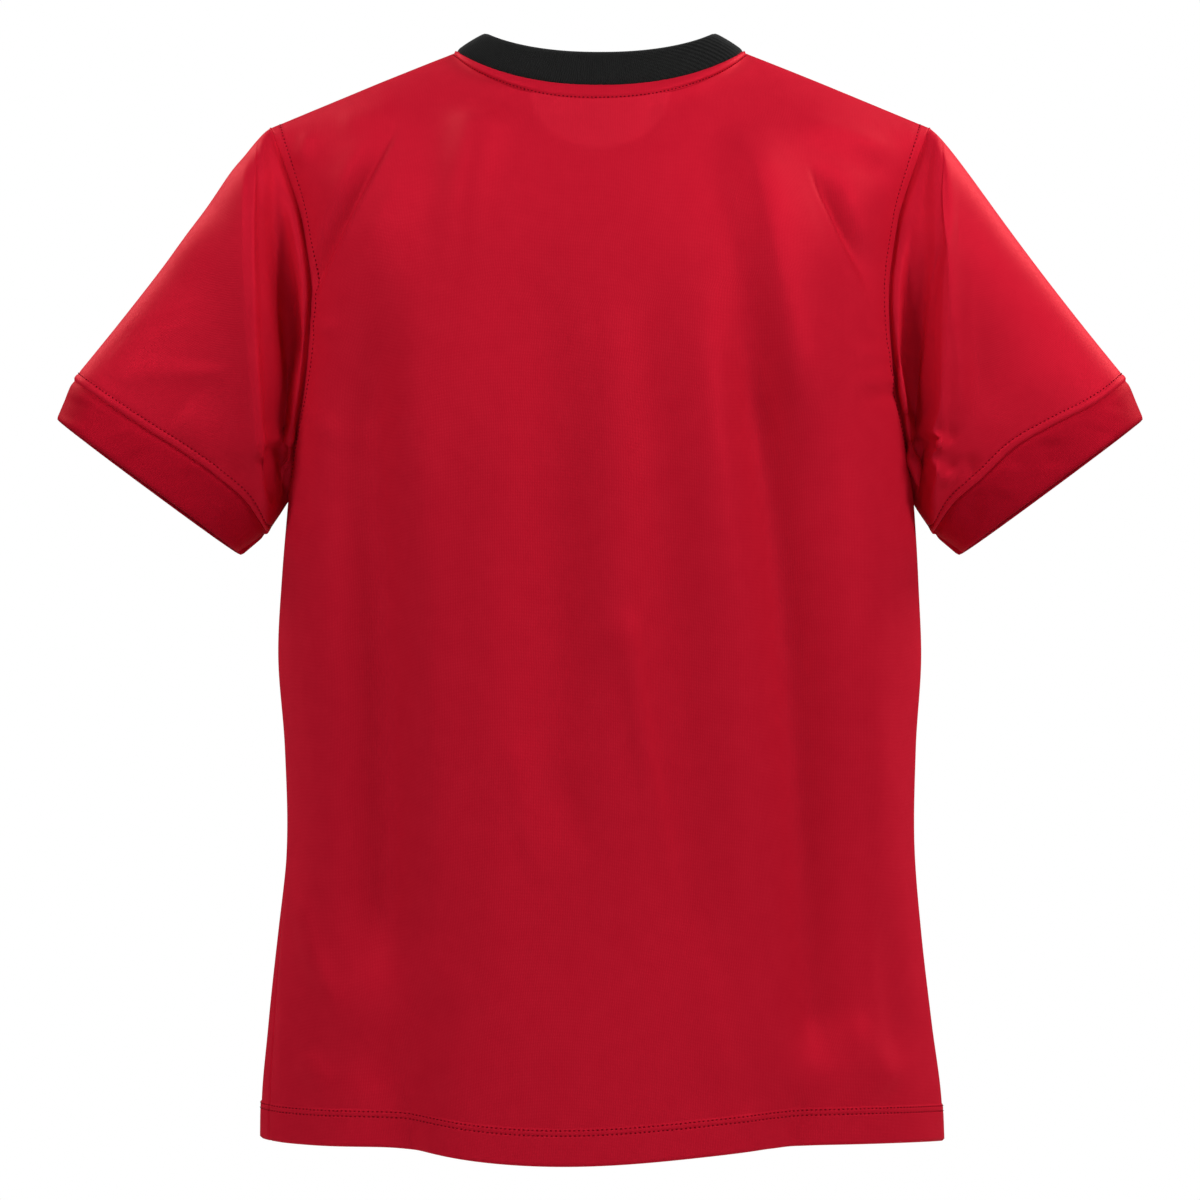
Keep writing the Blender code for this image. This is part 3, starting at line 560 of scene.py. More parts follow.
def new_material(name):
    """A material, its node tree and its shader."""
    material = bpy.data.materials.new(name)
    material.use_nodes = True
    return material, material.node_tree, material.node_tree.nodes["Principled BSDF"]


def wave_scale(pitch):
    """Scale of a wave texture whose bands lie a pitch apart."""
    return 2 * math.pi / (20 * pitch)


def knit_cloth(name, light, dark, wale, roughness, sheen, depth):
    """Knitted cloth: fine wales with crossing courses in relief, painted shade between its loops that follows
    that relief, a soft random unevenness of colour in the cloth itself, and a sheen.
    """
    material, tree, shader = new_material(name)
    cloth_map = node_with(tree, "UVMap", "UV", {}, uv_map="cloth")

    def wave(direction, pitch):
        return node_with(tree, "TexWave", "Color", {"Vector": cloth_map, "Scale": wave_scale(pitch)},
                         bands_direction=direction)

    def noise(scale, detail):
        return node_with(tree, "TexNoise", "Fac",
                         {"Vector": cloth_map, "Scale": scale, "Detail": detail, "Roughness": 0.6})

    loops = node_with(tree, "Math", 0, {0: wave("X", wale), 1: wave("Y", wale * 0.8)}, operation="MULTIPLY")
    fibre = node_with(tree, "Math", 0, {0: loops, 1: noise(0.9 / wale, 2.0)}, operation="ADD")
    # Colour: a soft random unevenness of the cloth plus the loops' pattern, which is painted shade between
    # the raised loops.
    dye_and_loop_shade = node_with(tree, "Math", 0, {0: noise(60.0, 3.0), 1: 0.8, 2: loops}, operation="MULTIPLY_ADD")
    lining = node_with(tree, "Attribute", "Fac", {}, attribute_name="lining")
    tint = node_with(tree, "Math", 0, {0: lining, 1: 0.7, 2: dye_and_loop_shade}, operation="MULTIPLY_ADD")
    feed(shader, {
        "Base Color": node_with(tree, "Mix", "Result_Color",
                                {"Factor": tint, "A_Color": (*dark, 1.0), "B_Color": (*light, 1.0)},
                                data_type="RGBA", clamp_factor=False),
        "Roughness": node_with(tree, "MapRange", "Result", {"Value": noise(220.0, 2.0),
                                                            "To Min": roughness - 0.05,
                                                            "To Max": roughness + 0.05}),
        "Normal": node_with(tree, "Bump", "Normal", {"Strength": depth, "Distance": 0.0002, "Height": fibre}),
        "Metallic": sheen,
        "Specular IOR Level": 0.03,
        "Specular Tint": (1.0, 0.25, 0.30, 1.0),
    })
    return material


def body_panel(name, cloth, material):
    """A front or back panel as a wall, with the relief of its seams and its turned hem."""
    points = cloth["points"]
    normals = grid_normals(points, False, cloth["outward"])
    below_armhole = 1 - eased(points[..., 2] - UNDERARM_HEIGHT + 0.004, 0.008)
    relief = at_line(cloth["from_side"], SIDE_GROOVE) * below_armhole
    relief += armhole_relief(cloth["from_side"]) * (1 - below_armhole) * eased(cloth["from_top"], 0.004)
    shoulder = (np.abs(cloth["across"]) > NECK_POINT_SHARE)[None]
    relief += at_line(cloth["from_top"], SHOULDER_GROOVE) * np.where(shoulder, 1.0, NECK_GROOVE_SHARE)
    relief += HEM_PLY[0] * (1 - eased(cloth["from_hem"] - HEM_DEPTH, HEM_PLY[1]))
    for twin_row in TWIN_ROWS:
        relief += at_line(cloth["from_hem"] - twin_row, TWIN_GROOVE)
    shown = patch_share(points) if cloth["outward"] < 0 else np.zeros(relief.shape)
    relief += PATCH_SHOWS["stand"] * shown
    outer = points + normals * relief[..., None]
    wall = np.where(cloth["from_hem"] < HEM_DEPTH, HEM_WALL, KNIT_WALL)[..., None]
    piece = sew(name, outer, outer - normals * wall, cloth["outward"], False, material)
    lining = piece.data.attributes.new("lining", "FLOAT", "POINT")
    shares = np.zeros(len(piece.data.vertices))
    shares[:shown.size] = shown.ravel()
    lining.data.foreach_set("value", shares)
    return piece, outer, normals


def armhole_stitching(outer, normals, cloth):
    """The row of stitches beside each armhole, on the panel."""
    rows = slice(cloth["underarm_row"] + 3, -4)
    lines = []
    for mirror in (slice(None), slice(None, None, -1)):
        points = outer[rows, mirror]
        lines.append(stitch_row(points, normals[rows, mirror], travelled(points), TOPSTITCH))
    return lines


def hem_stitching(outer, normals, cloth):
    """The two twin-needle rows of the hem."""
    up = (outer.transpose(1, 0, 2), normals.transpose(1, 0, 2), cloth["from_hem"].T)
    return [stitch_row(*up, twin_row) for twin_row in TWIN_ROWS]


red_knit = knit_cloth("red_knit", KNIT_LIGHT, KNIT_DARK, 0.0011, 0.54, 0.15, 0.35)
# The thread is the cloth's red painted much darker: painted shade of the needle holes and the small grooves
# the stitches lie in.
thread_with_painted_shade = knit_cloth("thread_with_painted_shade", (0.26, 0.003, 0.012), (0.18, 0.002, 0.008), 0.0003, 0.60, 0.10, 0.3)

back_cloth = panel_cloth("back", BACK_FOLDS, -1.0)
back, back_face, back_normals = body_panel("back", back_cloth, red_knit)
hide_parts("back_panel")
back_stitching = stitches("back_stitching", armhole_stitching(back_face, back_normals, back_cloth)
                          + hem_stitching(back_face, back_normals, back_cloth), thread_with_painted_shade)


# Front panel.  The same knit as the back, cut with a deeper neck, and joined to it at the shoulders and
# the sides by overlocked seams.  It falls in soft folds like those of the back.
FRONT_FOLDS = (
    # line, left, right, stand, fade
    (((110, -716), (100, -590)), 28, 28, -10.4, (0.01, 0.9)),
    (((-118, -716), (-106, -600)), 28, 28, -9.1, (0.01, 0.9)),
    (((0, -716), (0, -560)), 70, 70, 7.8, (0.01, 0.9)),
    (((78, -60), (90, -130), (98, -220), (100, -330)), 20, 16, 7.8, (0.2, 0.65)),
    (((-74, -60), (-83, -125), (-90, -240), (-88, -360)), 15, 22, 8.6, (0.2, 0.6)),
    (((45, -140), (60, -260), (64, -420), (58, -560)), 26, 30, -7, (0.3, 0.4)),
    (((-38, -150), (-50, -300), (-46, -460), (-54, -590)), 30, 24, -6.6, (0.3, 0.35)),
    (((150, -260), (156, -400), (150, -540)), 22, 26, -5.9, (0.35, 0.4)),
    (((-146, -240), (-150, -420), (-142, -560)), 24, 24, -6.6, (0.35, 0.4)),
    (((115, -50), (132, -90), (150, -140), (162, -195)), 6, 11, -4, (0.5, 0.1)),
    (((126, -46), (144, -90), (162, -150)), 12, 7, 5.5, (0.4, 0.2)),
    (((-118, -56), (-134, -105), (-152, -160)), 10, 5, -3.8, (0.4, 0.15)),
    (((-128, -56), (-146, -105), (-160, -150)), 6, 12, 5.1, (0.4, 0.25)),
    (((180, -215), (145, -228)), 5, 6, 2.2, (0.02, 0.7)),
    (((180, -238), (150, -256)), 4.5, 5, -2.2, (0.02, 0.7)),
    (((-150, -250), (-180, -230)), 6, 5, 2.2, (0.7, 0.02)),
    (((12, -390), (18, -450), (30, -525)), 6, 10, 2.5, (0.35, 0.45)),
    (((-26, -430), (-20, -500), (-8, -560)), 10, 7, 2.1, (0.4, 0.45)),
    (((165, -605), (148, -640), (130, -676)), 12, 12, 4.3, (0.4, 0.25)),
    (((-172, -590), (-156, -630), (-142, -674)), 11, 13, 4.7, (0.4, 0.25)),
    (((112, -656), (108, -706)), 7, 6, -2.2, (0.4, 0.01)),
    (((-116, -656), (-122, -706)), 6, 8, -2.3, (0.4, 0.01)),
)
front_cloth = panel_cloth("front", FRONT_FOLDS, 1.0)
front, front_face, front_normals = body_panel("front", front_cloth, red_knit)
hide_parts("front_panel")
front_stitching = stitches("front_stitching", armhole_stitching(front_face, front_normals, front_cloth)
                           + hem_stitching(front_face, front_normals, front_cloth), thread_with_painted_shade)


# Sleeves.  Each is one piece of the knit, set into the armhole and closed under the arm.  With no arm in
# it the cloth beside the body falls in deep folds, and the rest lies smooth out to the cuff seam.
SLEEVE_TOP_HANDLES = ((0.2130, -0.0490), (0.2295, -0.0610), (0.2590, -0.1135), (0.3406, -0.2117))
SLEEVE_UNDER_LINE = ((0.2014, -0.2900), (0.2165, -0.3120))
WELT = 0.0052               # width of the welt above the cuff seam
WELT_STAND = 0.0005
WELT_GROOVE = (-0.00035, 0.0008)
CUFF_SEAM_GROOVE = (-0.0008, 0.0008)
ARMHOLE_LAP = (0.0004, 0.0008)   # the edge swells over the armhole seam, so no light comes through it
SLEEVE_STATIONS = ((0, 0.5, 8), (0.5, 6, 62), (6, 8.82, 30), (8.82, 9, 18))
HALF_RING = 140             # points round a half of a ring
OVAL_SQUARENESS = 2.3
SLEEVE_UNEVEN = 0.0004
CUFF_EDGE_TOP = (0.3514, -0.2375)
CUFF_EDGE_UNDER = (0.2325, -0.3250)
CUFF_SEAM_BOW = {
    "drop": (0.00, 0.15, 0.40, 0.56, 0.75, 0.90, 1.00),
    "left": (0.000, 0.0020, 0.0060, 0.0092, 0.0110, 0.0090, 0.002),
    "right": (0.000, 0.0010, 0.0088, 0.0128, 0.0103, 0.0085, 0.002),
}
# Rings from the armhole seam to the cuff seam: shares of the top line and of the underside line, how much
# of the armhole's curve is kept, how far the oval stands out, and the deep folds beside the body.
SLEEVE_RINGS = {
    "top": (0.00, 0.020, 0.060, 0.095, 0.125, 0.150, 0.26, 0.44, 0.70, 1.00),
    "under": (0.00, 0.16, 0.28, 0.40, 0.52, 0.64, 0.75, 0.85, 0.93, 1.00),
    "follow": (1.00, 0.85, 0.50, 0.12, -0.05, -0.12, -0.05, 0.00, 0.00, 0.00),
    "half_depth": (0.050, 0.053, 0.055, 0.057, 0.058, 0.059, 0.058, 0.054, 0.048, 0.042),
    "high": (0.000, 0.001, -0.007, -0.005, -0.002, 0.001, 0.000, 0.000, 0.000, 0.000),
    "middle": (0.000, 0.001, -0.022, -0.012, -0.005, 0.001, 0.001, 0.000, 0.000, 0.000),
    "low": (0.000, 0.001, -0.012, -0.010, -0.005, 0.000, 0.000, 0.000, 0.000, 0.000),
    "front": (0.000, 0.001, -0.013, -0.007, -0.003, 0.001, 0.001, 0.000, 0.000, 0.000),
}
# Lines here are measured from the middle of the jersey towards each sleeve, so left means outward on the
# left sleeve, and the table of the right sleeve is drawn the same way round.
SLEEVE_FOLDS = {
    "left": (
        # line, left, right, stand, fade
        (((224, -64), (225.6, -86.7), (224.9, -141.6), (221.1, -185.6), (219, -229.5), (217.9, -273.4)),
         20, 4.8, 4.2, (0.25, 0.1)),
        (((215, -130), (211.3, -174.3), (206.9, -207.5), (204.7, -240.4)), 6, 6, 2.4, (0.4, 0.25)),
        (((220, -150), (216.5, -190), (214, -230), (213, -256)), 4, 4.5, -2.2, (0.35, 0.2)),
        (((212.4, -75.7), (206.9, -108.6), (202.5, -141.6), (197.1, -181.1), (194.8, -218.6)),
         8, 6, -4.6, (0.35, 0.25)),
        (((198, -90), (193.7, -108.6), (188.2, -152.6), (189.4, -196.5)), 5, 5, 1.2, (0.35, 0.35)),
        (((195.5, -254.5), (204, -250.5), (215, -252.5)), 8, 3.4, 2.6, (0.25, 0.35)),
        (((197.5, -260), (206, -258), (216, -261)), 4, 5.5, -3.6, (0.3, 0.25)),
        (((216.5, -260), (214, -272), (211, -285), (209, -295)), 3, 4.2, -4.2, (0.2, 0.55)),
        (((203.5, -261), (200, -272), (198.5, -285), (198, -295)), 4.2, 4, -5.5, (0.25, 0.35)),
        (((250, -169), (280.2, -177.2), (316, -190)), 8, 2.8, -1.5, (0.45, 0.15)),
        (((248, -164), (280.2, -173), (316, -184)), 4, 9, 1.4, (0.45, 0.2)),
        (((318.4, -210.3), (286.5, -207.1), (254.7, -207.7), (229.2, -209)), 7, 2.8, 1.7, (0.2, 0.35)),
        (((270, -233), (259.8, -242.8), (240.7, -266.3)), 11, 15, 2.6, (0.45, 0.4)),
        (((250, -100), (276, -150)), 22, 22, 1.8, (0.45, 0.45)),
    ),
    "right": (
        (((221.3, -64.4), (224.8, -104), (232.6, -158.9), (239.1, -202.8), (241.1, -246.4)),
         22, 5.5, 4.2, (0.3, 0.25)),
        (((210.5, -86.3), (206, -125.9), (200.6, -169.9), (197.7, -213.8), (196.3, -244.5)),
         8, 6, -4.4, (0.35, 0.25)),
        (((218, -125), (216.1, -147.8), (212.8, -180.7), (208.3, -213.7), (204, -240)),
         6, 5, 3.4, (0.3, 0.25)),
        (((225, -115), (225.8, -139.1), (228.1, -180.7), (230.3, -213.7), (226, -260)),
         6.5, 6, -4, (0.35, 0.25)),
        (((225, -256), (217.5, -249), (206.5, -245.5), (196, -249)), 3.2, 8.5, 3, (0.15, 0.3)),
        (((224, -259), (216, -254.5), (206.5, -254), (199, -260)), 4.2, 4.2, -4, (0.25, 0.2)),
        (((203, -256), (200, -268), (199, -280), (199, -290)), 4, 5, -5.8, (0.2, 0.4)),
        (((207, -260), (216, -265), (225, -273)), 6.5, 4, 2.2, (0.4, 0.15)),
        (((210, -268), (219, -274), (227, -279)), 4.2, 6.5, -2.6, (0.4, 0.25)),
        (((232, -260), (237.5, -270), (240, -280)), 6, 5.5, 2.4, (0.4, 0.35)),
        (((199, -90), (194.5, -121.8), (190, -163.2), (189.5, -201.4)), 5, 5, 1.2, (0.35, 0.35)),
        (((262, -110), (280, -180), (286, -220)), 26, 26, 2, (0.45, 0.45)),
    ),
}
SIDES = {"left": 1.0, "right": -1.0}
OTHER_SIDE = {"left": "right", "right": "left"}


def bezier(handles, share):
    """Point of a cubic curve with four handles."""
    a, b, c, d = (np.array(handle) for handle in handles)
    rest = 1 - share
    return rest ** 3 * a + 3 * rest ** 2 * share * b + 3 * rest * share ** 2 * c + share ** 3 * d


def to_side(points, side):
    """Points on the wearer's left (1) as they are, or carried over to the right (-1), and back."""
    return points * np.array([side, 1.0, 1.0])


def armhole(side):
    """Seam points round an armhole: from the shoulder tip down the back, and up the front, close together
    near the tip and the underarm."""
    column = -1 if side > 0 else 0
    share = (1 - np.cos(np.linspace(0, math.pi, 181))) / 2
    down = along_curve(back_cloth["points"][back_cloth["underarm_row"]:, column][::-1], share)
    up = along_curve(front_cloth["points"][front_cloth["underarm_row"]:, column], share)
    return np.concatenate([down, up[1:-1]]), len(down) - 1


def sleeve_rings(side_name):
    """Rings of a sleeve from the armhole seam to the cuff seam."""
    side = SIDES[side_name]
    loop, under = armhole(side)
    loop = to_side(loop, side)
    tip, underarm = loop[0], loop[under]
    drop = np.clip((tip[2] - loop[:, 2]) / (tip[2] - underarm[2]), 0, 1)
    straight = tip + (underarm - tip) * drop[:, None]
    inset = loop[:, 0] - straight[:, 0]
    own = np.abs(loop[:, 1] - straight[:, 1])
    on_back = np.arange(len(loop)) <= under
    facing = np.where(on_back, 1.0, -1.0)
    bulge = np.clip(1 - np.abs(2 * drop - 1) ** OVAL_SQUARENESS, 0, 1) ** (1 / OVAL_SQUARENESS)
    bulge[0] = bulge[under] = 0.0
    under_a, under_b = (np.array(end) for end in SLEEVE_UNDER_LINE)
    axis = unit(np.array(CUFF_EDGE_TOP) - np.array(SLEEVE_TOP_HANDLES[3]))
    bow = curve_through(CUFF_SEAM_BOW["drop"], CUFF_SEAM_BOW[side_name], drop) * on_back
    even = np.linspace(0, 1, HALF_RING)
    rings = []
    for station in runs(*SLEEVE_STATIONS):
        ring = {name: float(curve_through(np.arange(len(values)), values, station))
                for name, values in SLEEVE_RINGS.items()}
        high = bezier(SLEEVE_TOP_HANDLES, ring["top"])
        low = under_a * (1 - ring["under"]) + under_b * ring["under"]
        flat = high + (low - high) * drop[:, None] - axis * (bow * ring["top"] ** 2)[:, None]
        back_fold = curve_through((0.0, 0.25, 0.60, 0.85, 1.0),
                                  (0.0, ring["high"], ring["middle"], ring["low"], 0.0), drop)
        fold = np.where(on_back, back_fold, ring["front"] * np.sin(math.pi * drop))
        close = ring["follow"] ** 2
        stand = (ring["half_depth"] * bulge + fold) * (1 - close) + (own + fold) * close
        points = np.column_stack([flat[:, 0] + inset * ring["follow"],
                                  straight[:, 1] * ring["follow"] + facing * stand, flat[:, 1]])
        back_half = along_curve(points[:under + 1], even)
        front_half = along_curve(np.concatenate([points[under:], points[:1]]), even)
        rings.append(np.concatenate([back_half, front_half[1:-1]]))
    return np.array(rings)


def folds_round(rings, tables, side_name):
    """Lift of the folds round a sleeve or cuff: its back has its own table, its front the other side's."""
    back_share = eased(rings[..., 1] + 0.004, 0.016)
    return (fold_stand(rings, tables[side_name]) * back_share
            + fold_stand(rings, tables[OTHER_SIDE[side_name]]) * (1 - back_share))


def sleeve_cloth(side_name):
    """Outer face of a sleeve with all its folds."""
    side = SIDES[side_name]
    rings = sleeve_rings(side_name)
    normals = grid_normals(to_side(rings, side), True, -1.0)
    from_armhole = travelled(rings.transpose(1, 0, 2)).T
    from_cuff = from_armhole[-1] - from_armhole
    ease = eased(from_armhole, 0.006) * eased(from_cuff, 0.010)
    off_edge = eased(np.abs(rings[..., 1]), 0.026)
    stand = (folds_round(rings, SLEEVE_FOLDS, side_name) * off_edge + uneven(rings, SLEEVE_UNEVEN)) * ease
    return {"points": to_side(rings + normals * stand[..., None], side), "outward": -side,
            "from_armhole": from_armhole, "from_cuff": from_cuff}


sleeve_cloths = {}
for side_name in SIDES:
    cloth = sleeve_cloth(side_name)
    sleeve_cloths[side_name] = cloth
    normals = grid_normals(cloth["points"], True, cloth["outward"])
    welt = np.clip(cloth["from_cuff"] / WELT, 0, 1)
    relief = at_line(cloth["from_armhole"], ARMHOLE_LAP) + WELT_STAND * np.sin(math.pi * welt) ** 0.35
    relief += at_line(cloth["from_cuff"] - WELT, WELT_GROOVE) + at_line(cloth["from_cuff"], CUFF_SEAM_GROOVE)
    outer = cloth["points"] + normals * relief[..., None]
    sleeve = sew("sleeve_" + side_name + "_cloth", outer, outer - normals * KNIT_WALL, cloth["outward"], True,
                 red_knit)
    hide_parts("sleeve_" + side_name)
    welt_row = stitch_row(outer[::-1].transpose(1, 0, 2), normals[::-1].transpose(1, 0, 2),
                          cloth["from_cuff"][::-1].T, WELT + 0.0002)
    sleeve_stitching = stitches("sleeve_" + side_name + "_stitching", [welt_row], thread_with_painted_shade)


# Cuff bands.  A strip of heavier knit is folded double and sewn to the sleeve's end, so the folded edge
# is the open one.  It sits just inside the welt and ripples a little.
CUFF_WALL = 0.0022
CUFF_HALF_DEPTH = 0.042
CUFF_EDGE_BOW = 0.0025
FAR_CUFF_DROP = 0.003       # the front of the band hangs a little lower
CUFF_ROWS = ((0, 0.12, 7), (0.12, 1, 20))
CUFF_TUCK = (-0.0009, 0.0025)    # under the welt
CUFF_FOLD_EDGE = (-0.0006, 0.0012)
CUFF_FOLDS = {
    "left": (
        (((335, -223), (342, -242)), 10, 10, -0.8, (0.3, 0.3)),
        (((305, -240), (296, -264)), 12, 8, 1, (0.3, 0.3)),
        (((264, -268), (260, -296)), 8, 10, -1, (0.3, 0.3)),
        (((240, -290), (248, -310)), 6, 6, 0.8, (0.3, 0.3)),
    ),
    "right": (
        (((325, -228), (320, -248)), 11, 11, 0.8, (0.3, 0.3)),
        (((286, -250), (288, -272)), 11, 8, -1.2, (0.3, 0.3)),
        (((264, -264), (256, -290)), 7, 9, 1.4, (0.3, 0.3)),
        (((242, -282), (238, -306)), 6, 7, -1, (0.3, 0.3)),
    ),
}
CUFF_LIGHT = (0.500, 0.0060, 0.0220)
CUFF_DARK = (0.420, 0.0045, 0.0170)
cuff_knit = knit_cloth("cuff_knit", CUFF_LIGHT, CUFF_DARK, 0.0012, 0.60, 0.20, 0.45)
for side_name, side in SIDES.items():
    seam = to_side(sleeve_cloths[side_name]["points"][-1], side)
    under = int(np.argmin(seam[:, 2]))
    share = np.abs(seam[:, 2] - seam[0, 2]) / abs(seam[under, 2] - seam[0, 2])
    edge_top, edge_under = np.array(CUFF_EDGE_TOP), np.array(CUFF_EDGE_UNDER)
    axis = unit(edge_top - np.array(SLEEVE_TOP_HANDLES[3]))
    flat = edge_top + (edge_under - edge_top) * share[:, None]
    flat -= axis * CUFF_EDGE_BOW * np.clip(seam[:, 1] / CUFF_HALF_DEPTH, 0, 1)[:, None]
    droop = FAR_CUFF_DROP * np.clip(-seam[:, 1] / CUFF_HALF_DEPTH, 0, 1)
    edge = np.column_stack([flat[:, 0], seam[:, 1], flat[:, 1] - droop])
    steps = runs(*CUFF_ROWS)[:, None, None]
    rings = seam * (1 - steps) + edge * steps
    from_seam = travelled(rings.transpose(1, 0, 2)).T
    normals = grid_normals(rings, True, -1.0)
    stand = folds_round(rings, CUFF_FOLDS, side_name) + uneven(rings, SLEEVE_UNEVEN)
    stand *= eased(from_seam, 0.006)
    stand += at_line(from_seam, CUFF_TUCK) + at_line(from_seam[-1] - from_seam, CUFF_FOLD_EDGE)
    outer = to_side(rings + normals * stand[..., None], side)
    normals = grid_normals(outer, True, -side)
    cuff = sew("cuff_" + side_name + "_band", outer, outer - normals * CUFF_WALL, -side, True, cuff_knit)
    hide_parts("cuff_" + side_name)


# Collar.  A strip of fine black one-by-one rib, folded double and stretched a little as it is sewn to the
# neck, so that it stands up and leans in.
COLLAR_TOP_HALF_WIDTH = 0.0732
RIB_WALL = 0.0026
RIB_PITCH = 0.00155
RIB_DEPTH = 0.00035
COLUMNS_PER_RIB = 4
COLLAR_SWELL = 0.0006
COLLAR_EDGE_ROUND = 0.0010
COLLAR_SEAM_GROOVE = (-0.0009, 0.06)    # its width as a share of the collar's height
COLLAR_RISE = {"side": 0.0117, "back": 0.0113, "front": 0.0085}
COLLAR_LEAN = {"back": 0.14, "front": 0.16}


def rib_cloth(name, ridge, groove):
    """Fine rib knit, matt, with painted shade that makes its grooves darker than its ridges."""
    material, tree, shader = new_material(name)
    cloth_map = node_with(tree, "UVMap", "UV", {}, uv_map="cloth")
    ribs = node_with(tree, "TexWave", "Fac", {"Vector": cloth_map, "Scale": wave_scale(RIB_PITCH)},
                     bands_direction="X")
    courses = node_with(tree, "TexNoise", "Fac", {"Vector": cloth_map, "Scale": 900.0})
    painted_rib_shade = node_with(tree, "Math", 0, {0: ribs, 1: courses}, operation="MULTIPLY")
    feed(shader, {
        "Base Color": node_with(tree, "Mix", "Result_Color",
                                {"Factor": painted_rib_shade, "A_Color": (*groove, 1.0), "B_Color": (*ridge, 1.0)},
                                data_type="RGBA"),
        "Normal": node_with(tree, "Bump", "Normal", {"Strength": 0.5, "Distance": 0.0002, "Height": courses}),
        "Roughness": 0.90,
        "Specular IOR Level": 0.20,
        "Sheen Weight": 0.05,
        "Sheen Roughness": 0.5,
    })
    return material


# The groove colour is painted shade, ten times darker than the ridge colour.
black_rib = rib_cloth("black_rib", (0.030, 0.031, 0.030), (0.003, 0.003, 0.003))
back_neck = neckline("back", np.linspace(1, -1, 601))
front_neck = neckline("front", np.linspace(-1, 1, 601))
seam = np.concatenate([back_neck, front_neck[1:-1]])
ring_length = travelled(np.concatenate([seam, seam[:1]]))[-1]
ribs = round(ring_length / RIB_PITCH)
shares = np.arange(ribs * COLUMNS_PER_RIB) / (ribs * COLUMNS_PER_RIB)
seam = along_curve(np.concatenate([seam, seam[:1]]), shares)
backness = np.clip(seam[:, 1] / NECKLINES["back"]["depth"], 0, 1)
frontness = np.clip(-seam[:, 1] / NECKLINES["front"]["depth"], 0, 1)
rise = COLLAR_RISE["side"] + COLLAR_RISE["back"] * backness ** 2 + COLLAR_RISE["front"] * frontness ** 1.5
lean = 1 - COLLAR_LEAN["back"] * backness - COLLAR_LEAN["front"] * frontness
top = np.column_stack([seam[:, 0] * COLLAR_TOP_HALF_WIDTH / NECK_POINT[0], seam[:, 1] * lean,
                       seam[:, 2] + rise])
steps = np.linspace(0, 1, 15)[:, None, None]
rings = seam * (1 - steps) + top * steps
normals = grid_normals(rings, True, 1.0)
share_up = steps[..., 0]
stand = (COLLAR_SWELL * np.sin(math.pi * share_up) - COLLAR_EDGE_ROUND * eased(share_up - 0.86, 0.14) ** 2
         + at_line(share_up, COLLAR_SEAM_GROOVE))
rib_stand = RIB_DEPTH * np.cos(np.arange(len(shares)) * math.pi / 2) * (1 - eased(share_up - 0.93, 0.07))
outer = rings + normals * (stand + rib_stand)[..., None]
inner = rings - normals * (RIB_WALL + stand + rib_stand * 0.8)[..., None]
collar = sew("collar_rib", outer, inner, 1.0, True, black_rib)
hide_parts("collar")


# Neck tape.  A narrow strip of the red knit covers the back neck seam under the collar.  It is stitched
# along its lower edge and tacked at two places.
TAPE_DEPTH = 0.0115
TAPE_STAND = 0.0011
TAPE_STITCH = 0.0100
TAPE_SWELL = 0.0009
TAPE_GROOVE = (-0.0006, 0.0008)
TACK_PLACES = (0.0345, -0.0345)
TACK_DENT = (-0.0007, 0.0011)
neck_columns = slice(int(np.argmin(np.abs(back_cloth["across"] + NECK_POINT_SHARE))),
                     int(np.argmin(np.abs(back_cloth["across"] - NECK_POINT_SHARE))) + 1)
neck_points = back_cloth["points"][:, neck_columns][::-1].transpose(1, 0, 2)
neck_square = grid_normals(back_cloth["points"], False, -1.0)[:, neck_columns][::-1].transpose(1, 0, 2)
down = travelled(neck_points)
depths = np.linspace(0.0004, TAPE_DEPTH, 16)
face = np.array([line_on(neck_points, down, depth) for depth in depths])[::-1]
square = np.array([line_on(neck_square, down, depth) for depth in depths])[::-1]
depth_down = depths[::-1][:, None]
stand = TAPE_STAND + TAPE_SWELL * np.sin(math.pi * np.clip(depth_down / TAPE_STITCH, 0, 1)) ** 0.7
stand = stand + at_line(depth_down - TAPE_STITCH, TAPE_GROOVE)
# It thins below its stitches, and towards both ends.
stand = stand * (1 - 0.75 * eased(depth_down - TAPE_STITCH - 0.0003, 0.0008))
along_tape = travelled(face)
stand = stand * (0.3 + 0.7 * eased(np.minimum(along_tape, along_tape[:, -1:] - along_tape), 0.008))
for tack in TACK_PLACES:
    stand = stand + at_line(face[..., 0] - tack, TACK_DENT) * eased(depth_down, 0.0020)
outer = face + square * stand[..., None]
tape = sew("neck_tape_strip", outer, face + square * 0.0002, -1.0, False, red_knit)
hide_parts("neck_tape")
tape_row = stitch_row(outer[::-1].transpose(1, 0, 2), square[::-1].transpose(1, 0, 2),
                      np.tile(depths, (outer.shape[1], 1)), TAPE_STITCH)
tape_stitching = stitches("tape_stitching", [tape_row], thread_with_painted_shade, 0.0015, 0.0026, 0.00045)


# Neck patch.  A half-moon of plain red knit is sewn inside the back neck, below the tape.
PATCH_HALF_WIDTH = 0.044
PATCH_DEPTH = 0.041
PATCH_WALL = 0.0010
PATCH_TOP = TAPE_DEPTH + 0.0010
PATCH_ROWS, PATCH_COLUMNS = 13, 41
PATCH_GAP = 0.0003          # between the back and the patch
half_moon = np.linspace(-1, 1, PATCH_COLUMNS) * PATCH_HALF_WIDTH
arc_depth = PATCH_DEPTH * np.sqrt(np.clip(1 - (half_moon / (PATCH_HALF_WIDTH * 1.001)) ** 2, 0, 1))
row_depths = PATCH_TOP + arc_depth * np.linspace(1, 0, PATCH_ROWS)[:, None]


def inside_neck(grid):
    """Values of a grid of the back neck at the points of the patch."""
    return np.array([[[np.interp(x, neck_points[:, 0, 0], level[:, axis]) for axis in range(3)]
                      for x, level in zip(half_moon, [line_on(grid, down, depth) for depth in row])]
                     for row in row_depths])


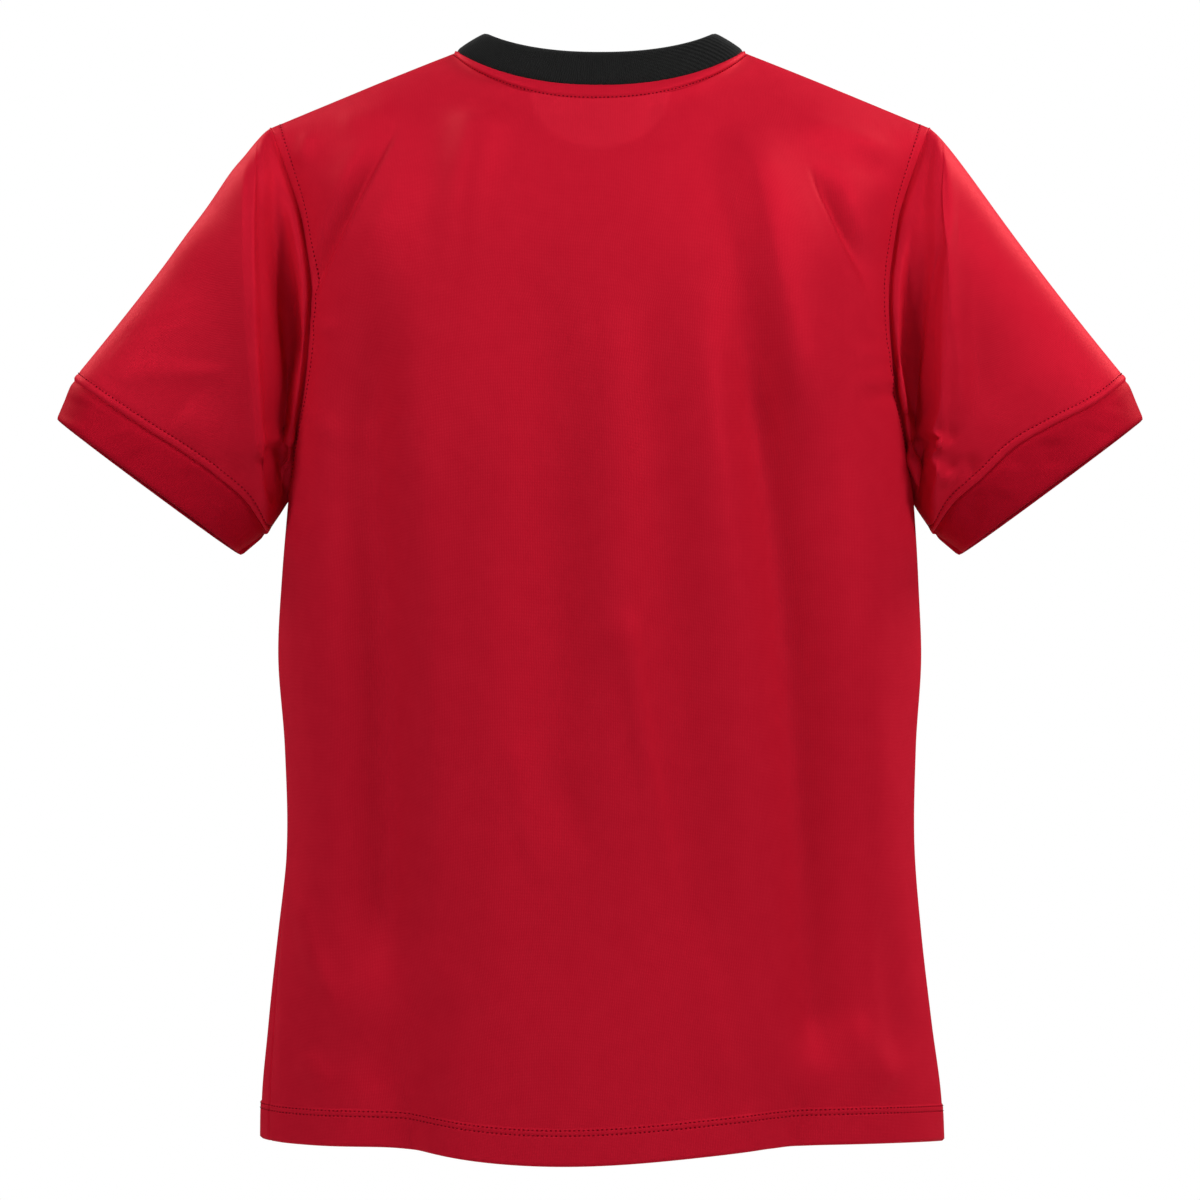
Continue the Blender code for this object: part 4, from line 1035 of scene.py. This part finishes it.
square = unit(inside_neck(neck_square))
outer = inside_neck(neck_points) - square * (KNIT_WALL + PATCH_GAP)
patch_knit = knit_cloth("patch_knit", (0.66, 0.040, 0.060), (0.58, 0.030, 0.045), 0.0012, 0.65, 0.2, 0.4)
patch = sew("neck_patch_half_moon", outer, outer - square * PATCH_WALL, -1.0, False, patch_knit)
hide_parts("neck_patch")


# Studio: a pale floor below the jersey, a white surround, and soft lights.
SURROUND_LIGHT = 0.06       # how strongly the white surround lights the jersey
LIGHT_SPREAD = math.radians(110)
FLOOR_HEIGHT = -0.95
FLOOR_HALF = 6.0
FLOOR_FADE = (0.95, 1.25)   # from the middle, where the floor turns into the surround


def white_surround():
    """White all round for the eye, and dimmer as a light."""
    world = bpy.data.worlds.new("white_surround")
    world.use_nodes = True
    tree = world.node_tree
    seen = node_with(tree, "LightPath", "Is Camera Ray", {})
    strength = node_with(tree, "MapRange", "Result", {"Value": seen, "To Min": SURROUND_LIGHT, "To Max": 1.0})
    feed(tree.nodes["Background"], {"Color": (1.0, 1.0, 1.0, 1.0), "Strength": strength})
    bpy.context.scene.world = world


def soft_light(name, place, aim, size, power):
    """A square soft box that faces a point."""
    light = bpy.data.lights.new(name, "AREA")
    light.shape = "RECTANGLE"
    light.size, light.size_y = size
    light.energy = power
    light.spread = LIGHT_SPREAD
    lamp = bpy.data.objects.new(name, light)
    lamp.location = place
    away = np.array(place) - np.array(aim)
    tilt = math.acos(away[2] / np.linalg.norm(away))
    lamp.rotation_euler = (tilt, 0.0, math.atan2(away[1], away[0]) + math.pi / 2)
    bpy.context.scene.collection.objects.link(lamp)


def pale_floor():
    """A pale floor that turns into the white surround a little way out, for the eye only."""
    h, z = FLOOR_HALF, FLOOR_HEIGHT
    mesh = bpy.data.meshes.new("floor")
    mesh.from_pydata([(-h, -h, z), (h, -h, z), (h, h, z), (-h, h, z)], [], [(0, 1, 2, 3)])
    paint, tree, shader = new_material("pale_floor")
    feed(shader, {"Base Color": (0.80, 0.80, 0.80, 1.0), "Roughness": 0.9})
    place = node_with(tree, "TexCoord", "Object", {})
    level = node_with(tree, "VectorMath", "Vector", {0: place, 1: (1.0, 1.0, 0.0)}, operation="MULTIPLY")
    far = node_with(tree, "VectorMath", "Value", {0: level}, operation="LENGTH")
    fade = node_with(tree, "MapRange", "Result",
                     {"Value": far, "From Min": FLOOR_FADE[0], "From Max": FLOOR_FADE[1]})
    seen = node_with(tree, "LightPath", "Is Camera Ray", {})
    share = node_with(tree, "Math", 0, {0: fade, 1: seen}, operation="MULTIPLY")
    glow = node_with(tree, "Emission", "Emission", {"Strength": 1.0})
    both = node_with(tree, "MixShader", "Shader", {"Fac": share, 1: shader.outputs["BSDF"], 2: glow})
    feed(tree.nodes["Material Output"], {"Surface": both})
    mesh.materials.append(paint)
    floor = bpy.data.objects.new("floor", mesh)
    bpy.context.scene.collection.objects.link(floor)
    return floor


white_surround()
for facing in (1.0, -1.0):
    soft_light("key_left", (1.50, 1.20 * facing, 1.00), (0.1, 0.0, 0.0), (0.8, 0.7), 8.8)
    soft_light("key_right", (-1.62, 1.10 * facing, 0.98), (-0.1, 0.0, 0.0), (0.8, 0.7), 12.0)
    soft_light("fill", (0.0, 2.60 * facing, 0.30), (0.0, 0.0, -0.10), (0.8, 0.5), 1.0)
floor = pale_floor()

bpy.context.scene.view_settings.view_transform = "Standard"
